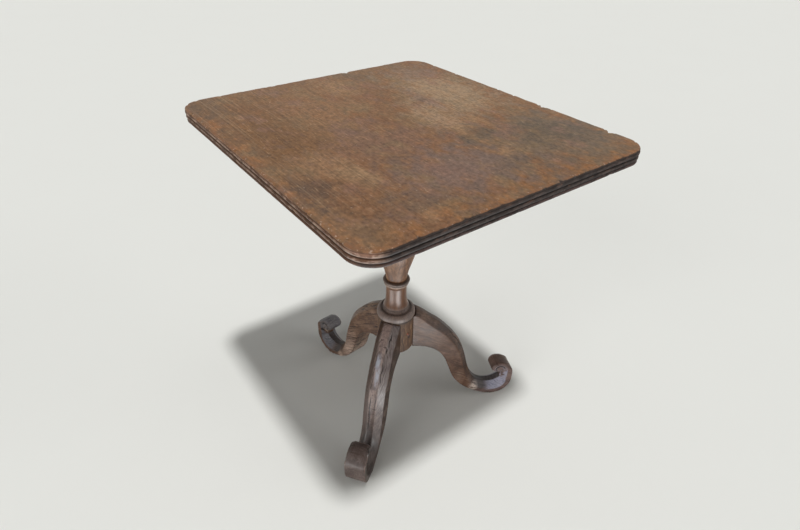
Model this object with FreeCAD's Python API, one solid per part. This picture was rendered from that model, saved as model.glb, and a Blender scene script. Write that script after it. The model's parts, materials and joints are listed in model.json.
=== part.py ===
import FreeCAD, Part
import math
import os

os.makedirs("parts", exist_ok=True)
Vector = FreeCAD.Vector
UP = Vector(0, 0, 1)

# Top, in millimetres: X runs across the grain, Y along it, Z up from the floor
table_height = 696.0
top_length = 607.0
top_width = 548.0
top_thickness = 25.0
corner_radius = 42.0

# Reeds of the edge: heights from the upper face down, set-backs from the outline
upper_reed_height = 8.5
middle_reed_height = 7.5
lower_reed_height = 6.0
arris_set_back = 0.6
middle_reed_set_back = 0.4
lower_reed_set_back = 1.2
upper_groove_depth = 2.6
middle_groove_depth = 3.2
lower_groove_depth = 3.4
under_edge_depth = 3.6

# Boards of the top and the dowels in their joints
left_board_width = 79.0
right_board_width = 189.0
dowel_diameter = 10.0
dowel_length = 60.0
dowel_spacing = 200.0
dowels_per_joint = 3

# Legs: planks set on edge, turned about the column's axis; the front one reaches less far
front_leg_angle = -145.0
right_leg_angle = -25.0
rear_leg_angle = 95.0
front_leg_reach = 249.0
side_leg_reach = 286.0
leg_thickness = 45.0
leg_root_reach = 22.0
leg_root_top = 275.0
leg_root_bottom = 194.5
crest_flat_width = 15.0
chamfer_depth = 12.0
foot_chamfer_depth = 15.0
chamfer_growth_points = 3

# Leg outlines as shares of the way from the drum to the toe, and of the height of the root
crest_shape = [(0.157, 0.937), (0.31, 0.807), (0.435, 0.648), (0.512, 0.454), (0.57, 0.271), (0.675, 0.142),
               (0.782, 0.109)]
underside_shape = [(0.06, 0.689), (0.206, 0.62), (0.298, 0.5), (0.379, 0.296), (0.488, 0.155), (0.637, 0.056)]

# Scroll foot
foot_pad_length = 12.0
foot_heel_radius = 41.0
scroll_rise = 22.0
scroll_radius = 24.0
scroll_curl_radius = 19.0
scroll_curl_angle = 280.0
scroll_throat = 4.5
scroll_side_throat = 21.0
scroll_eye_radius = 6.0
scroll_eye_height = 1.5

# Sliding dovetails of the legs
dovetail_depth = 15.0
dovetail_neck_width = 14.0
dovetail_tip_width = 20.0
dovetail_stop = 18.0

# Column, from the drum up; its drum follows the legs and its baluster fills the height
drum_radius = 39.0
drum_below_legs = 5.0
drum_edge_radius = 9.0
collar_radius = 40.5
collar_band = 3.0
collar_height = 15.0
collar_top_radius = 32.5
collar_swell = 2.0
cove_radius = 25.0
cove_height = 6.5
neck_foot_radius = 27.0
neck_radius = 21.0
neck_height = 55.0
neck_waist_share = 0.6
ring_radius = 27.7
ring_height = 7.0
ring_groove_radius = 25.2
ring_belly_radius = 26.3
ring_belly_height = 11.0
ring_belly_swell = 1.0
baluster_foot_radius = 20.8
baluster_foot_slope = 0.15
baluster_flare_radius = 25.0
baluster_flare_height = 22.0
baluster_swell_radius = 38.0
baluster_swell_height = 75.0
baluster_neck_radius = 23.0
cap_bead_radius = 29.0
cap_bead_height = 11.0
cap_radius = 34.0
cap_cove_height = 24.0
cap_hollow_reach_share = 0.3
cap_hollow_rise_share = 0.7
cap_band = 7.0
tenon_radius = 22.0

# Tilting block, its wedge and its pivot pins
block_length = 160.0
block_width = 160.0
block_thickness = 36.0
block_chamfer = 8.0
wedge_thickness = 4.0
wedge_tip = 1.5
wedge_depth = 28.0
wedge_margin = 2.0
pivot_diameter = 18.0
pivot_seat = 45.0
pivot_end_gap = 1.0
pivot_chamfer = 1.5

# Bearers across the grain and their screws
bearer_length = 480.0
bearer_width = 30.0
bearer_height = 34.0
bearer_end_height = 14.0
bearer_taper = 60.0
bearer_screw_count = 5
bearer_screw_inset = 25.0
bearer_screw_seat = 10.0
bearer_screw_grip = 14.0
bearer_screw_diameter = 5.0
bearer_head_diameter = 10.0
bearer_head_height = 4.0

# Sliding catch and its keep
bolt_diameter = 8.0
bolt_length = 66.0
bolt_throw = 12.0
bolt_stand_off = 1.5
bolt_nose = 1.0
knob_stem_diameter = 5.0
knob_stem_length = 4.0
knob_radius = 6.0
knob_sink = 1.0
catch_plate_width = 24.0
catch_plate_thickness = 1.8
catch_tab_length = 12.0
guide_length = 8.0
guide_wall = 2.6
guide_lift = 1.0
keep_width = 34.0
keep_drop = 10.0
keep_thickness = 2.0
keep_mortise_depth = 14.0
plate_corner = 3.0
plate_screw_diameter = 3.0
plate_head_diameter = 6.0
plate_screw_length = 12.0
plate_screw_side = 7.0
keep_screw_side = 11.0

# Nails through the drum into the dovetails
nail_diameter = 4.0
nail_head_diameter = 8.0
nail_head_height = 2.0
nail_bite = 10.0
nail_spacing = 15.0

# Clearances
glue_line = 0.1
pivot_clearance = 0.25
round_clearance = 0.3
side_clearance = 0.5
bolt_clearance = 0.3
keep_clearance = 0.6
collar_gap = 0.6
tenon_drop = 0.5
slot_width = 1.0
slot_depth = 0.8
cut_margin = 1.0

# Places that follow from the sizes above
underside = table_height - top_thickness
block_bottom = underside - block_thickness
block_end = block_length / 2
pivot_drop = block_thickness / 2 + round_clearance
pivot_x = block_end - pivot_drop
pivot_z = underside - pivot_drop
bearer_y = block_width / 2 + side_clearance + bearer_width / 2
drum_bottom = leg_root_bottom - drum_below_legs
collar_bottom = leg_root_top + collar_gap
socket_top = collar_bottom - dovetail_stop
legs = {"leg_front": (front_leg_angle, front_leg_reach), "leg_right": (right_leg_angle, side_leg_reach),
        "leg_rear": (rear_leg_angle, side_leg_reach)}
left_joint = -top_width / 2 + left_board_width
right_joint = top_width / 2 - right_board_width
bolt_z = underside - catch_plate_thickness - guide_lift - bolt_diameter / 2
keep_face = -block_end - keep_thickness
bolt_nose_x = keep_face - bolt_stand_off


def line(start, end):
    return Part.LineSegment(start, end).toShape()


def arc(start, middle, end):
    return Part.Arc(start, middle, end).toShape()


def spline(points, start_direction=None, end_direction=None):
    curve = Part.BSplineCurve()
    if start_direction and end_direction:
        curve.interpolate(Points=points, InitialTangent=start_direction, FinalTangent=end_direction)
    else:
        curve.interpolate(points)
    return curve.toShape()


def side_point(reach, height, offset=0.0):
    return Vector(reach, offset, height)


def round_point(center, radius, angle):
    turn = math.radians(angle)
    return center + Vector(radius * math.cos(turn), 0, radius * math.sin(turn))


def face_of(edges):
    return Part.Face(Part.Wire(edges))


def polygon_face(points):
    return Part.Face(Part.makePolygon(points + points[:1]))


def turned(edges):
    return face_of(edges).revolve(Vector(0, 0, 0), UP, 360)


def turned_about_z(outline):
    return polygon_face([side_point(radius, height) for radius, height in outline]).revolve(
        Vector(0, 0, 0), UP, 360)


def box_between(low, high):
    size = high - low
    return Part.makeBox(size.x, size.y, size.z, low)


def rounded_plate(low, high, radius, direction):
    plate = box_between(low, high)
    upright = [edge for edge in plate.Edges if abs(edge.tangentAt(edge.FirstParameter).dot(direction)) > 0.9]
    return plate.makeFillet(radius, upright)


def save(name, shape):
    shape.exportStep("parts/" + name + ".step")
    print(name, "solids", len(shape.Solids), "valid", shape.isValid())


# Top: a blank with reeds run round its edge, then divided into boards
def edge_waste():
    arris_height = top_thickness - upper_reed_height - middle_reed_height - lower_reed_height
    arris_center = Vector(corner_radius - arris_set_back - arris_height, 0, table_height - arris_height)
    upper_z = table_height - arris_height
    middle_z = upper_z - upper_reed_height
    lower_z = middle_z - middle_reed_height
    arris_top = round_point(arris_center, arris_height, 90)
    arris_foot = round_point(arris_center, arris_height, 0)
    upper_groove = side_point(corner_radius - upper_groove_depth, upper_z)
    middle_groove = side_point(corner_radius - middle_groove_depth, middle_z)
    lower_groove = side_point(corner_radius - lower_groove_depth, lower_z)
    reed_end = side_point(corner_radius - under_edge_depth, underside)
    upper_crest = side_point(corner_radius, upper_z - upper_reed_height / 2)
    middle_crest = side_point(corner_radius - middle_reed_set_back, middle_z - middle_reed_height / 2)
    lower_crest = side_point(corner_radius - lower_reed_set_back, lower_z - lower_reed_height / 2)
    above = side_point(arris_top.x, table_height + cut_margin)
    below = side_point(reed_end.x, underside - cut_margin)
    outside_top = side_point(corner_radius + 2 * cut_margin, above.z)
    outside_foot = side_point(outside_top.x, below.z)
    edges = [
        line(above, arris_top),
        arc(arris_top, round_point(arris_center, arris_height, 45), arris_foot),
        line(arris_foot, upper_groove),
        arc(upper_groove, upper_crest, middle_groove),
        arc(middle_groove, middle_crest, lower_groove),
        arc(lower_groove, lower_crest, reed_end),
        line(reed_end, below),
        line(below, outside_foot),
        line(outside_foot, outside_top),
        line(outside_top, above),
    ]
    profile = face_of(edges)
    half_x = top_width / 2 - corner_radius
    half_y = top_length / 2 - corner_radius
    waste = []
    for quarter, (side_x, side_y) in enumerate([(1, 1), (-1, 1), (-1, -1), (1, -1)]):
        run = 2 * (half_x if quarter % 2 else half_y)
        for piece in (profile.revolve(Vector(0, 0, 0), UP, 90), profile.extrude(Vector(0, -run, 0))):
            piece.rotate(Vector(0, 0, 0), UP, 90 * quarter)
            piece.translate(Vector(side_x * half_x, side_y * half_y, 0))
            waste.append(piece)
    return waste


def reeded_top():
    corner = Vector(top_width / 2 + cut_margin, top_length / 2 + cut_margin, table_height)
    low = Vector(-corner.x, -corner.y, underside)
    blank = rounded_plate(low, corner, corner_radius + cut_margin, UP)
    return blank.cut(edge_waste())


def dowel_places():
    first = -dowel_spacing * (dowels_per_joint - 1) / 2
    for joint in (left_joint, right_joint):
        for index in range(dowels_per_joint):
            along = first + index * dowel_spacing
            yield Vector(joint - dowel_length / 2, along, underside + top_thickness / 2)


def dowels(extra):
    return [Part.makeCylinder(dowel_diameter / 2 + extra, dowel_length + 2 * extra,
                              place - Vector(extra, 0, 0), Vector(1, 0, 0)) for place in dowel_places()]


# Fasteners
def cheese_head_screw(extra):
    head = bearer_head_diameter / 2 + extra
    shank = bearer_screw_diameter / 2 + extra
    length = bearer_screw_seat + bearer_screw_grip + extra
    return turned_about_z([(0, -bearer_head_height), (head, -bearer_head_height), (head, 0), (shank, 0),
                           (shank, length - shank), (0, length)])


def countersunk_screw(extra):
    head = plate_head_diameter / 2 + extra
    shank = plate_screw_diameter / 2 + extra
    return turned_about_z([(0, 0), (head, 0), (shank, head - shank), (shank, plate_screw_length - shank),
                           (0, plate_screw_length + extra)])


def slotted(screw, face_height, head_diameter):
    low = Vector(-head_diameter, -slot_width / 2, face_height - cut_margin)
    high = Vector(head_diameter, slot_width / 2, face_height + slot_depth)
    return screw.cut(box_between(low, high))


def placed(shape, place, turn_axis=None, turn=0.0):
    copy = shape.copy()
    if turn_axis:
        copy.rotate(Vector(0, 0, 0), turn_axis, turn)
    copy.translate(place)
    return copy


# Bearers
def bearer_screw_places(side):
    first = -bearer_length / 2 + bearer_screw_inset
    pitch = (bearer_length - 2 * bearer_screw_inset) / (bearer_screw_count - 1)
    return [Vector(first + index * pitch, side * bearer_y, underside - bearer_screw_seat)
            for index in range(bearer_screw_count)]


def bearer(side):
    half = bearer_length / 2
    shoulder = half - bearer_taper
    tip = underside - bearer_end_height
    foot = underside - bearer_height
    bend_x = half - bearer_taper * math.cos(math.radians(45))
    bend_z = tip - (tip - foot) * (1 - math.sin(math.radians(45)))
    near = side * bearer_y - bearer_width / 2
    edges = [
        line(side_point(-half, underside, near), side_point(half, underside, near)),
        line(side_point(half, underside, near), side_point(half, tip, near)),
        arc(side_point(half, tip, near), side_point(bend_x, bend_z, near),
            side_point(shoulder, foot, near)),
        line(side_point(shoulder, foot, near), side_point(-shoulder, foot, near)),
        arc(side_point(-shoulder, foot, near), side_point(-bend_x, bend_z, near),
            side_point(-half, tip, near)),
        line(side_point(-half, tip, near), side_point(-half, underside, near)),
    ]
    rail = face_of(edges).extrude(Vector(0, bearer_width, 0))
    cuts = [Part.makeCylinder(pivot_diameter / 2 + pivot_clearance, bearer_width + 2 * cut_margin,
                              Vector(pivot_x, near - cut_margin, pivot_z), Vector(0, 1, 0))]
    for place in bearer_screw_places(side):
        cuts.append(placed(cheese_head_screw(glue_line), place))
        cuts.append(Part.makeCylinder(bearer_head_diameter / 2 + glue_line, bearer_height,
                                      place - Vector(0, 0, bearer_height)))
    return rail.cut(cuts)


# Tilting block: its end over the pivot is rounded about it, and below that it is the stop
def tilt_block():
    foot = block_bottom
    near = -block_width / 2
    center = Vector(pivot_x, near, pivot_z)
    radius = pivot_drop - round_clearance
    edges = [
        line(side_point(-block_end, underside, near), side_point(pivot_x, underside, near)),
        line(side_point(pivot_x, underside, near), round_point(center, radius, 90)),
        arc(round_point(center, radius, 90), round_point(center, radius, 45), round_point(center, radius, 0)),
        line(round_point(center, radius, 0), side_point(block_end, pivot_z, near)),
        line(side_point(block_end, pivot_z, near), side_point(block_end, foot, near)),
        line(side_point(block_end, foot, near), side_point(-block_end, foot, near)),
        line(side_point(-block_end, foot, near), side_point(-block_end, underside, near)),
    ]
    block = face_of(edges).extrude(Vector(0, block_width, 0))
    lower = [edge for edge in block.Edges
             if edge.BoundBox.ZMax < foot + cut_margin and edge.BoundBox.XMin < block_end - cut_margin]
    block = block.makeChamfer(block_chamfer, lower)
    cuts = [Part.makeCylinder(tenon_radius + glue_line, block_thickness + 2 * cut_margin,
                              Vector(0, 0, foot - cut_margin))]
    cuts.append(Part.makeCylinder(bolt_diameter / 2 + keep_clearance, keep_mortise_depth,
                                  Vector(-block_end, 0, bolt_z), Vector(1, 0, 0)))
    cuts += [placed(countersunk_screw(glue_line), place, Vector(0, 1, 0), 90)
             for place in keep_screw_places()]
    cuts += [pivot_pin(side, glue_line) for side in (-1, 1)]
    return block.cut(cuts)


def pivot_pin(side, extra):
    inner = block_width / 2 - pivot_seat - extra
    outer = block_width / 2 + side_clearance + bearer_width - pivot_end_gap
    radius = pivot_diameter / 2 + extra
    chamfer = pivot_chamfer
    pin = turned_about_z([(0, inner), (radius, inner), (radius, outer - chamfer), (radius - chamfer, outer),
                          (0, outer)])
    return placed(pin, Vector(pivot_x, 0, pivot_z), Vector(1, 0, 0), -90 * side)


def tenon_wedge(extra):
    half = math.sqrt(tenon_radius ** 2 - wedge_thickness ** 2) - wedge_margin + extra
    top = underside - tenon_drop
    tip = top - wedge_depth
    ends = [Vector(-wedge_thickness / 2, -half, top), Vector(wedge_thickness / 2, -half, top),
            Vector(wedge_tip / 2, -half, tip), Vector(-wedge_tip / 2, -half, tip)]
    return polygon_face(ends).extrude(Vector(0, 2 * half, 0))


# Column
def column():
    collar_top = collar_bottom + collar_height
    neck_foot = collar_top + cove_height
    belly_foot = neck_foot + neck_height
    ring_foot = belly_foot + ring_belly_height
    ring_top = ring_foot + ring_height
    swell_z = ring_top + baluster_swell_height
    cap_band_foot = block_bottom - cap_band
    cap_cove_foot = cap_band_foot - cap_cove_height
    bead_foot = cap_cove_foot - cap_bead_height
    edge_center = side_point(drum_radius - drum_edge_radius, drum_bottom + drum_edge_radius)
    drum_foot = round_point(edge_center, drum_edge_radius, -90)
    drum_side = round_point(edge_center, drum_edge_radius, 0)
    collar_edge = side_point(collar_radius, collar_bottom + collar_band)
    collar_shoulder = side_point(collar_top_radius, collar_top)
    collar_mid = (collar_edge + collar_shoulder) * 0.5 + Vector(collar_swell, 0, collar_swell)
    neck_waist = neck_foot + neck_height * neck_waist_share
    cove_mid = side_point(cove_radius, collar_top + cove_height / 2)
    bead_mid = side_point(cap_bead_radius, bead_foot + cap_bead_height / 2)
    cap_in = side_point(baluster_neck_radius, cap_cove_foot)
    cap_out = side_point(cap_radius, cap_band_foot)
    cap_mid = side_point(baluster_neck_radius + (cap_radius - baluster_neck_radius) * cap_hollow_reach_share,
                         cap_cove_foot + cap_cove_height * cap_hollow_rise_share)
    edges = [
        line(side_point(0, drum_bottom), drum_foot),
        arc(drum_foot, round_point(edge_center, drum_edge_radius, -45), drum_side),
        line(drum_side, side_point(drum_radius, collar_bottom)),
        line(side_point(drum_radius, collar_bottom), side_point(collar_radius, collar_bottom)),
        line(side_point(collar_radius, collar_bottom), collar_edge),
        arc(collar_edge, collar_mid, collar_shoulder),
        arc(collar_shoulder, cove_mid, side_point(neck_foot_radius, neck_foot)),
        spline([side_point(neck_foot_radius, neck_foot), side_point(neck_radius, neck_waist),
                side_point(neck_radius, belly_foot)]),
        arc(side_point(neck_radius, belly_foot),
            side_point((neck_radius + ring_belly_radius) / 2 + ring_belly_swell,
                       belly_foot + ring_belly_height / 2),
            side_point(ring_belly_radius, ring_foot)),
        line(side_point(ring_belly_radius, ring_foot), side_point(ring_groove_radius, ring_foot)),
        arc(side_point(ring_groove_radius, ring_foot),
            side_point(ring_radius, ring_foot + ring_height / 2),
            side_point(ring_groove_radius, ring_top)),
        line(side_point(ring_groove_radius, ring_top), side_point(baluster_foot_radius, ring_top)),
        spline([side_point(baluster_foot_radius, ring_top),
                side_point(baluster_flare_radius, ring_top + baluster_flare_height),
                side_point(baluster_swell_radius, swell_z)],
               Vector(baluster_foot_slope, 0, 1), UP),
        spline([side_point(baluster_swell_radius, swell_z), side_point(baluster_neck_radius, bead_foot)],
               UP, UP),
        arc(side_point(baluster_neck_radius, bead_foot), bead_mid, cap_in),
        arc(cap_in, cap_mid, cap_out),
        line(cap_out, side_point(cap_radius, block_bottom)),
        line(side_point(cap_radius, block_bottom), side_point(tenon_radius, block_bottom)),
        line(side_point(tenon_radius, block_bottom), side_point(tenon_radius, underside - tenon_drop)),
        line(side_point(tenon_radius, underside - tenon_drop), side_point(0, underside - tenon_drop)),
        line(side_point(0, underside - tenon_drop), side_point(0, drum_bottom)),
    ]
    sockets = [dovetail(angle, glue_line, drum_bottom - cut_margin) for angle, reach in legs.values()]
    return turned(edges).cut(sockets + [tenon_wedge(0)] + nails(glue_line))


# Legs
def dovetail(angle, extra, bottom):
    tip = drum_radius - dovetail_depth - extra
    root = drum_radius + dovetail_depth
    neck = dovetail_neck_width / 2 + extra
    spread = dovetail_tip_width / 2 + extra
    outline = [Vector(tip, -spread, bottom), Vector(drum_radius, -neck, bottom), Vector(root, -neck, bottom),
               Vector(root, neck, bottom), Vector(drum_radius, neck, bottom), Vector(tip, spread, bottom)]
    tongue = polygon_face(outline).extrude(Vector(0, 0, socket_top + extra - bottom))
    tongue.rotate(Vector(0, 0, 0), UP, angle)
    return tongue


def leg_point(reach, spot):
    return side_point(drum_radius + spot[0] * (reach - drum_radius), spot[1] * leg_root_top)


def crest_outline(reach):
    return [side_point(leg_root_reach, leg_root_top)] + [leg_point(reach, spot) for spot in crest_shape]


# The chamfer's lower arris: the crest moved in square to itself, fading out at the root and deeper at the foot
def arris_outline(reach):
    crest = crest_outline(reach)
    last = len(crest) - 1
    outline = []
    for index, spot in enumerate(crest):
        along = crest[min(index + 1, last)] - crest[max(index - 1, 0)]
        inward = Vector(along.z, 0, -along.x).normalize()
        growth = max(0.0, 1 - (last - index) / chamfer_growth_points)
        depth = chamfer_depth + (foot_chamfer_depth - chamfer_depth) * growth
        outline.append(spot + inward * depth * min(1.0, index))
    return outline


def scroll_center(reach):
    return side_point(reach - scroll_radius, foot_heel_radius + scroll_rise)


def curl_center(reach):
    return scroll_center(reach) - Vector(scroll_radius - scroll_curl_radius, 0, 0)


def leg_wire(reach, upper, throat_drop, offset):
    pad_end = side_point(reach - foot_heel_radius, 0)
    pad_start = pad_end - Vector(foot_pad_length, 0, 0)
    heel_center = pad_end + Vector(0, 0, foot_heel_radius)
    heel = round_point(heel_center, foot_heel_radius, 0)
    roll = scroll_center(reach)
    curl = curl_center(reach)
    roll_start = round_point(roll, scroll_radius, 0)
    roll_end = round_point(roll, scroll_radius, 180)
    curl_end = round_point(curl, scroll_curl_radius, scroll_curl_angle)
    curl_middle = round_point(curl, scroll_curl_radius, (180 + scroll_curl_angle) / 2)
    throat = curl_end - Vector(0, 0, throat_drop)
    root_foot = side_point(leg_root_reach, leg_root_bottom)
    below = [root_foot] + [leg_point(reach, spot) for spot in underside_shape] + [pad_start]
    edges = [
        spline(upper + [throat]),
        line(throat, curl_end),
        arc(curl_end, curl_middle, roll_end),
        arc(roll_end, round_point(roll, scroll_radius, 90), roll_start),
        line(roll_start, heel),
        arc(heel, round_point(heel_center, foot_heel_radius, -45), pad_end),
        line(pad_end, pad_start),
        spline(below[::-1]),
        line(root_foot, upper[0]),
    ]
    wire = Part.Wire(edges)
    wire.translate(Vector(0, offset, 0))
    return wire


def scroll_eye(reach):
    length = leg_thickness + 2 * scroll_eye_height
    return Part.makeCylinder(scroll_eye_radius, length, curl_center(reach) - Vector(0, length / 2, 0),
                             Vector(0, 1, 0))


def leg(angle, reach):
    half = leg_thickness / 2
    flat = crest_flat_width / 2
    crest = crest_outline(reach)
    arris = arris_outline(reach)
    sections = [leg_wire(reach, arris, scroll_side_throat, -half), leg_wire(reach, crest, scroll_throat, -flat),
                leg_wire(reach, crest, scroll_throat, flat), leg_wire(reach, arris, scroll_side_throat, half)]
    plank = Part.makeLoft(sections, True, True).fuse(scroll_eye(reach))
    drum = Part.makeCylinder(drum_radius + glue_line, table_height, Vector(0, 0, -cut_margin))
    body = plank.cut(drum)
    body.rotate(Vector(0, 0, 0), UP, angle)
    return body.fuse(dovetail(angle, 0, leg_root_bottom)).removeSplitter().cut(nails(glue_line))


# One nail opposite each leg, at its own height so that they pass each other
def nails(extra):
    length = drum_radius * 2 - dovetail_depth + nail_bite + extra
    head = nail_head_diameter / 2 + extra
    shank = nail_diameter / 2 + extra
    nail = turned_about_z([(0, -nail_head_height), (head, -nail_head_height / 2), (head, 0), (shank, 0),
                           (shank, length - nail_diameter), (0, length)])
    nail.rotate(Vector(0, 0, 0), Vector(0, 1, 0), 90)
    group = []
    middle = (leg_root_bottom + socket_top) / 2
    for index, (angle, reach) in enumerate(legs.values()):
        one = placed(nail, Vector(-drum_radius, 0, middle + (index - 1) * nail_spacing))
        one.rotate(Vector(0, 0, 0), UP, angle)
        group.append(one)
    return group


# Catch
def keep_screw_places():
    return [Vector(keep_face, side * keep_screw_side, bolt_z) for side in (-1, 1)]


def catch_keep():
    low = Vector(keep_face, -keep_width / 2, bolt_z - keep_drop)
    high = Vector(-block_end, keep_width / 2, underside - side_clearance)
    plate = rounded_plate(low, high, plate_corner, Vector(1, 0, 0))
    cuts = [Part.makeCylinder(bolt_diameter / 2 + keep_clearance, keep_thickness + 2 * cut_margin,
                              Vector(keep_face - cut_margin, 0, bolt_z), Vector(1, 0, 0))]
    cuts += [placed(countersunk_screw(glue_line), place, Vector(0, 1, 0), 90)
             for place in keep_screw_places()]
    return plate.cut(cuts)


# Along the bolt from its nose: tab, guide, the knob's run, guide, tab
knob_run = knob_stem_diameter + bolt_throw + 2 * bolt_clearance
catch_near_end = bolt_nose_x - bolt_stand_off
near_guide = catch_near_end - catch_tab_length
far_guide = near_guide - guide_length - knob_run
catch_far_end = far_guide - guide_length - catch_tab_length
knob_x = far_guide + bolt_clearance + knob_stem_diameter / 2


def catch_screw_places():
    return [Vector(end, side * plate_screw_side, underside - catch_plate_thickness)
            for end in (catch_near_end - catch_tab_length / 2, catch_far_end + catch_tab_length / 2)
            for side in (-1, 1)]


def catch_plate():
    low = Vector(catch_far_end, -catch_plate_width / 2, underside - catch_plate_thickness)
    high = Vector(catch_near_end, catch_plate_width / 2, underside)
    plate = rounded_plate(low, high, plate_corner, UP)
    bore = bolt_diameter / 2 + bolt_clearance
    shell = bore + guide_wall
    for end in (near_guide, far_guide):
        start = Vector(end - guide_length, 0, bolt_z)
        barrel = Part.makeCylinder(shell, guide_length, start, Vector(1, 0, 0))
        web = box_between(start - Vector(0, shell, 0),
                          Vector(end, shell, underside - catch_plate_thickness / 2))
        plate = plate.fuse([barrel, web])
    cuts = [Part.makeCylinder(bore, bolt_length * 2, Vector(catch_far_end - bolt_length / 2, 0, bolt_z),
                              Vector(1, 0, 0))]
    cuts += [placed(countersunk_screw(glue_line), place) for place in catch_screw_places()]
    return plate.cut(cuts).removeSplitter()


def catch_bolt():
    radius = bolt_diameter / 2
    bar = turned_about_z([(0, 0), (radius, 0), (radius, bolt_length - bolt_nose),
                          (radius - bolt_nose, bolt_length), (0, bolt_length)])
    bar = placed(bar, Vector(bolt_nose_x - bolt_length, 0, bolt_z), Vector(0, 1, 0), 90)
    stem_foot = bolt_z - radius - knob_stem_length
    stem = Part.makeCylinder(knob_stem_diameter / 2, radius + knob_stem_length, Vector(knob_x, 0, stem_foot))
    ball = Part.makeSphere(knob_radius, Vector(knob_x, 0, stem_foot - knob_radius + knob_sink))
    return bar.fuse([stem, ball])


# Write every piece
top = reeded_top()
bearer_places = bearer_screw_places(-1) + bearer_screw_places(1)
top_cuts = dowels(glue_line)
top_cuts += [placed(cheese_head_screw(glue_line), place) for place in bearer_places]
top_cuts += [placed(countersunk_screw(glue_line), place) for place in catch_screw_places()]
bored_top = top.cut(top_cuts)
joints = [-top_width, left_joint, right_joint, top_width]
for name, west, east in zip(("left", "centre", "right"), joints[:-1], joints[1:]):
    strip = box_between(Vector(west, -top_length, 0), Vector(east, top_length, 2 * table_height))
    save("top_board_" + name, bored_top.common(strip))
save("board_dowels", Part.makeCompound(dowels(0)))
save("bearer_near", bearer(-1))
save("bearer_far", bearer(1))
bearer_screw = slotted(cheese_head_screw(0), -bearer_head_height, bearer_head_diameter)
save("bearer_screws", Part.makeCompound([placed(bearer_screw, place) for place in bearer_places]))
save("tilt_block", tilt_block())
save("tenon_wedge", tenon_wedge(0))
save("pivot_pin_near", pivot_pin(-1, 0))
save("pivot_pin_far", pivot_pin(1, 0))
save("column", column())
for name, (angle, reach) in legs.items():
    save(name, leg(angle, reach))
save("leg_nails", Part.makeCompound(nails(0)))
plate_screw = slotted(countersunk_screw(0), 0, plate_head_diameter)
save("catch_plate", catch_plate())
save("catch_screws", Part.makeCompound([placed(plate_screw, place) for place in catch_screw_places()]))
save("catch_bolt", catch_bolt())
save("catch_keep", catch_keep())
keep_screws = [placed(plate_screw, place, Vector(0, 1, 0), 90) for place in keep_screw_places()]
save("keep_screws", Part.makeCompound(keep_screws))
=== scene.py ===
import bmesh
import bpy
import json
import math
import numpy as np
from mathutils import Matrix, Vector, noise


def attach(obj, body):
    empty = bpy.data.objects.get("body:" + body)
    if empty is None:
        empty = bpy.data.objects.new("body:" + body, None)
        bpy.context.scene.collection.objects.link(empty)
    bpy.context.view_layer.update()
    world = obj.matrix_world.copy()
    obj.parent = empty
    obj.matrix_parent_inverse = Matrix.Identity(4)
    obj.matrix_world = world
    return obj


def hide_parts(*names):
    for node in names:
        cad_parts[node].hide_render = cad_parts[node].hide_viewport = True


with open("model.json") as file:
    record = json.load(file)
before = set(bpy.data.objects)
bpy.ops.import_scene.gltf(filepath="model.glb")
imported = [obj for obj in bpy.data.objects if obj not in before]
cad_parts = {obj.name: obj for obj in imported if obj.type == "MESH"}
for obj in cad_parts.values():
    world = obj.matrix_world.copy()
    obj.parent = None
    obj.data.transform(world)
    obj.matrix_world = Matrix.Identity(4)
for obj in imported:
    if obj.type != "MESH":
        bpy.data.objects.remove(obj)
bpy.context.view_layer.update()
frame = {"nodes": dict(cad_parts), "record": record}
nodes = frame["nodes"]
scene = bpy.context.scene
print("frame loaded with", len(nodes), "pieces")

tree = None  # nodes of the material in hand


# colours are written as they look on screen, 0 to 255
def tone(*color):
    shares = [value / 255 for value in color]
    return tuple(s / 12.92 if s < 0.04045 else ((s + 0.055) / 1.055) ** 2.4 for s in shares) + (1.0,)


# node helpers: a value may be a number, a colour or another node's output
def addNode(kind, **settings):
    made = tree.nodes.new("ShaderNode" + kind)
    for name, value in settings.items():
        setattr(made, name, value)
    return made


def plug(value, socket):
    if isinstance(value, bpy.types.NodeSocket):
        tree.links.new(value, socket)
    else:
        socket.default_value = tone(*value) if socket.type == "RGBA" and len(value) == 3 else value


def calc(operation, *values):
    total = values[0]
    for value in values[1:]:
        made = addNode("Math", operation=operation)
        plug(total, made.inputs[0])
        plug(value, made.inputs[1])
        total = made.outputs[0]
    return total


def times(*values):
    return calc("MULTIPLY", *values)


def plus(*values):
    return calc("ADD", *values)


# how far a pattern is from its middle
def swing(pattern, weight):
    return times(calc("SUBTRACT", pattern, 0.5), weight)


def fade(value, low, high, start=0.0, end=1.0):
    made = addNode("MapRange", interpolation_type="SMOOTHSTEP")
    for socket, given in zip(made.inputs, (value, low, high, start, end)):
        plug(given, socket)
    return made.outputs[0]


def paint(color, over, *shares):
    made = addNode("Mix", data_type="RGBA")
    for socket, given in ((0, times(*shares)), (6, color), (7, over)):
        plug(given, made.inputs[socket])
    return made.outputs[2]


# coats in turn: colour, share, and what limits it, a value or where that value starts and is full
def coats(color, look, seen, rows):
    for shown, share, *limits in rows:
        parts = [fade(seen[name], *[look.get(end, end) for end in ends]) if ends else seen[name]
                 for name, *ends in limits]
        color = paint(color, look[shown], *parts, look.get(share, share))
    return color


def ramp(share, *stops):
    made = addNode("ValToRGB")
    band = made.color_ramp
    while len(band.elements) < len(stops):
        band.elements.new(0.5)
    for element, (spot, color) in zip(band.elements, stops):
        element.position = spot
        element.color = tone(*color)
    plug(share, made.inputs[0])
    return made.outputs[0]


def mapped(place, scale, shift):
    made = addNode("Mapping")
    plug(place, made.inputs["Vector"])
    made.inputs["Scale"].default_value = scale
    made.inputs["Location"].default_value = shift
    return made.outputs[0]


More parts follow.
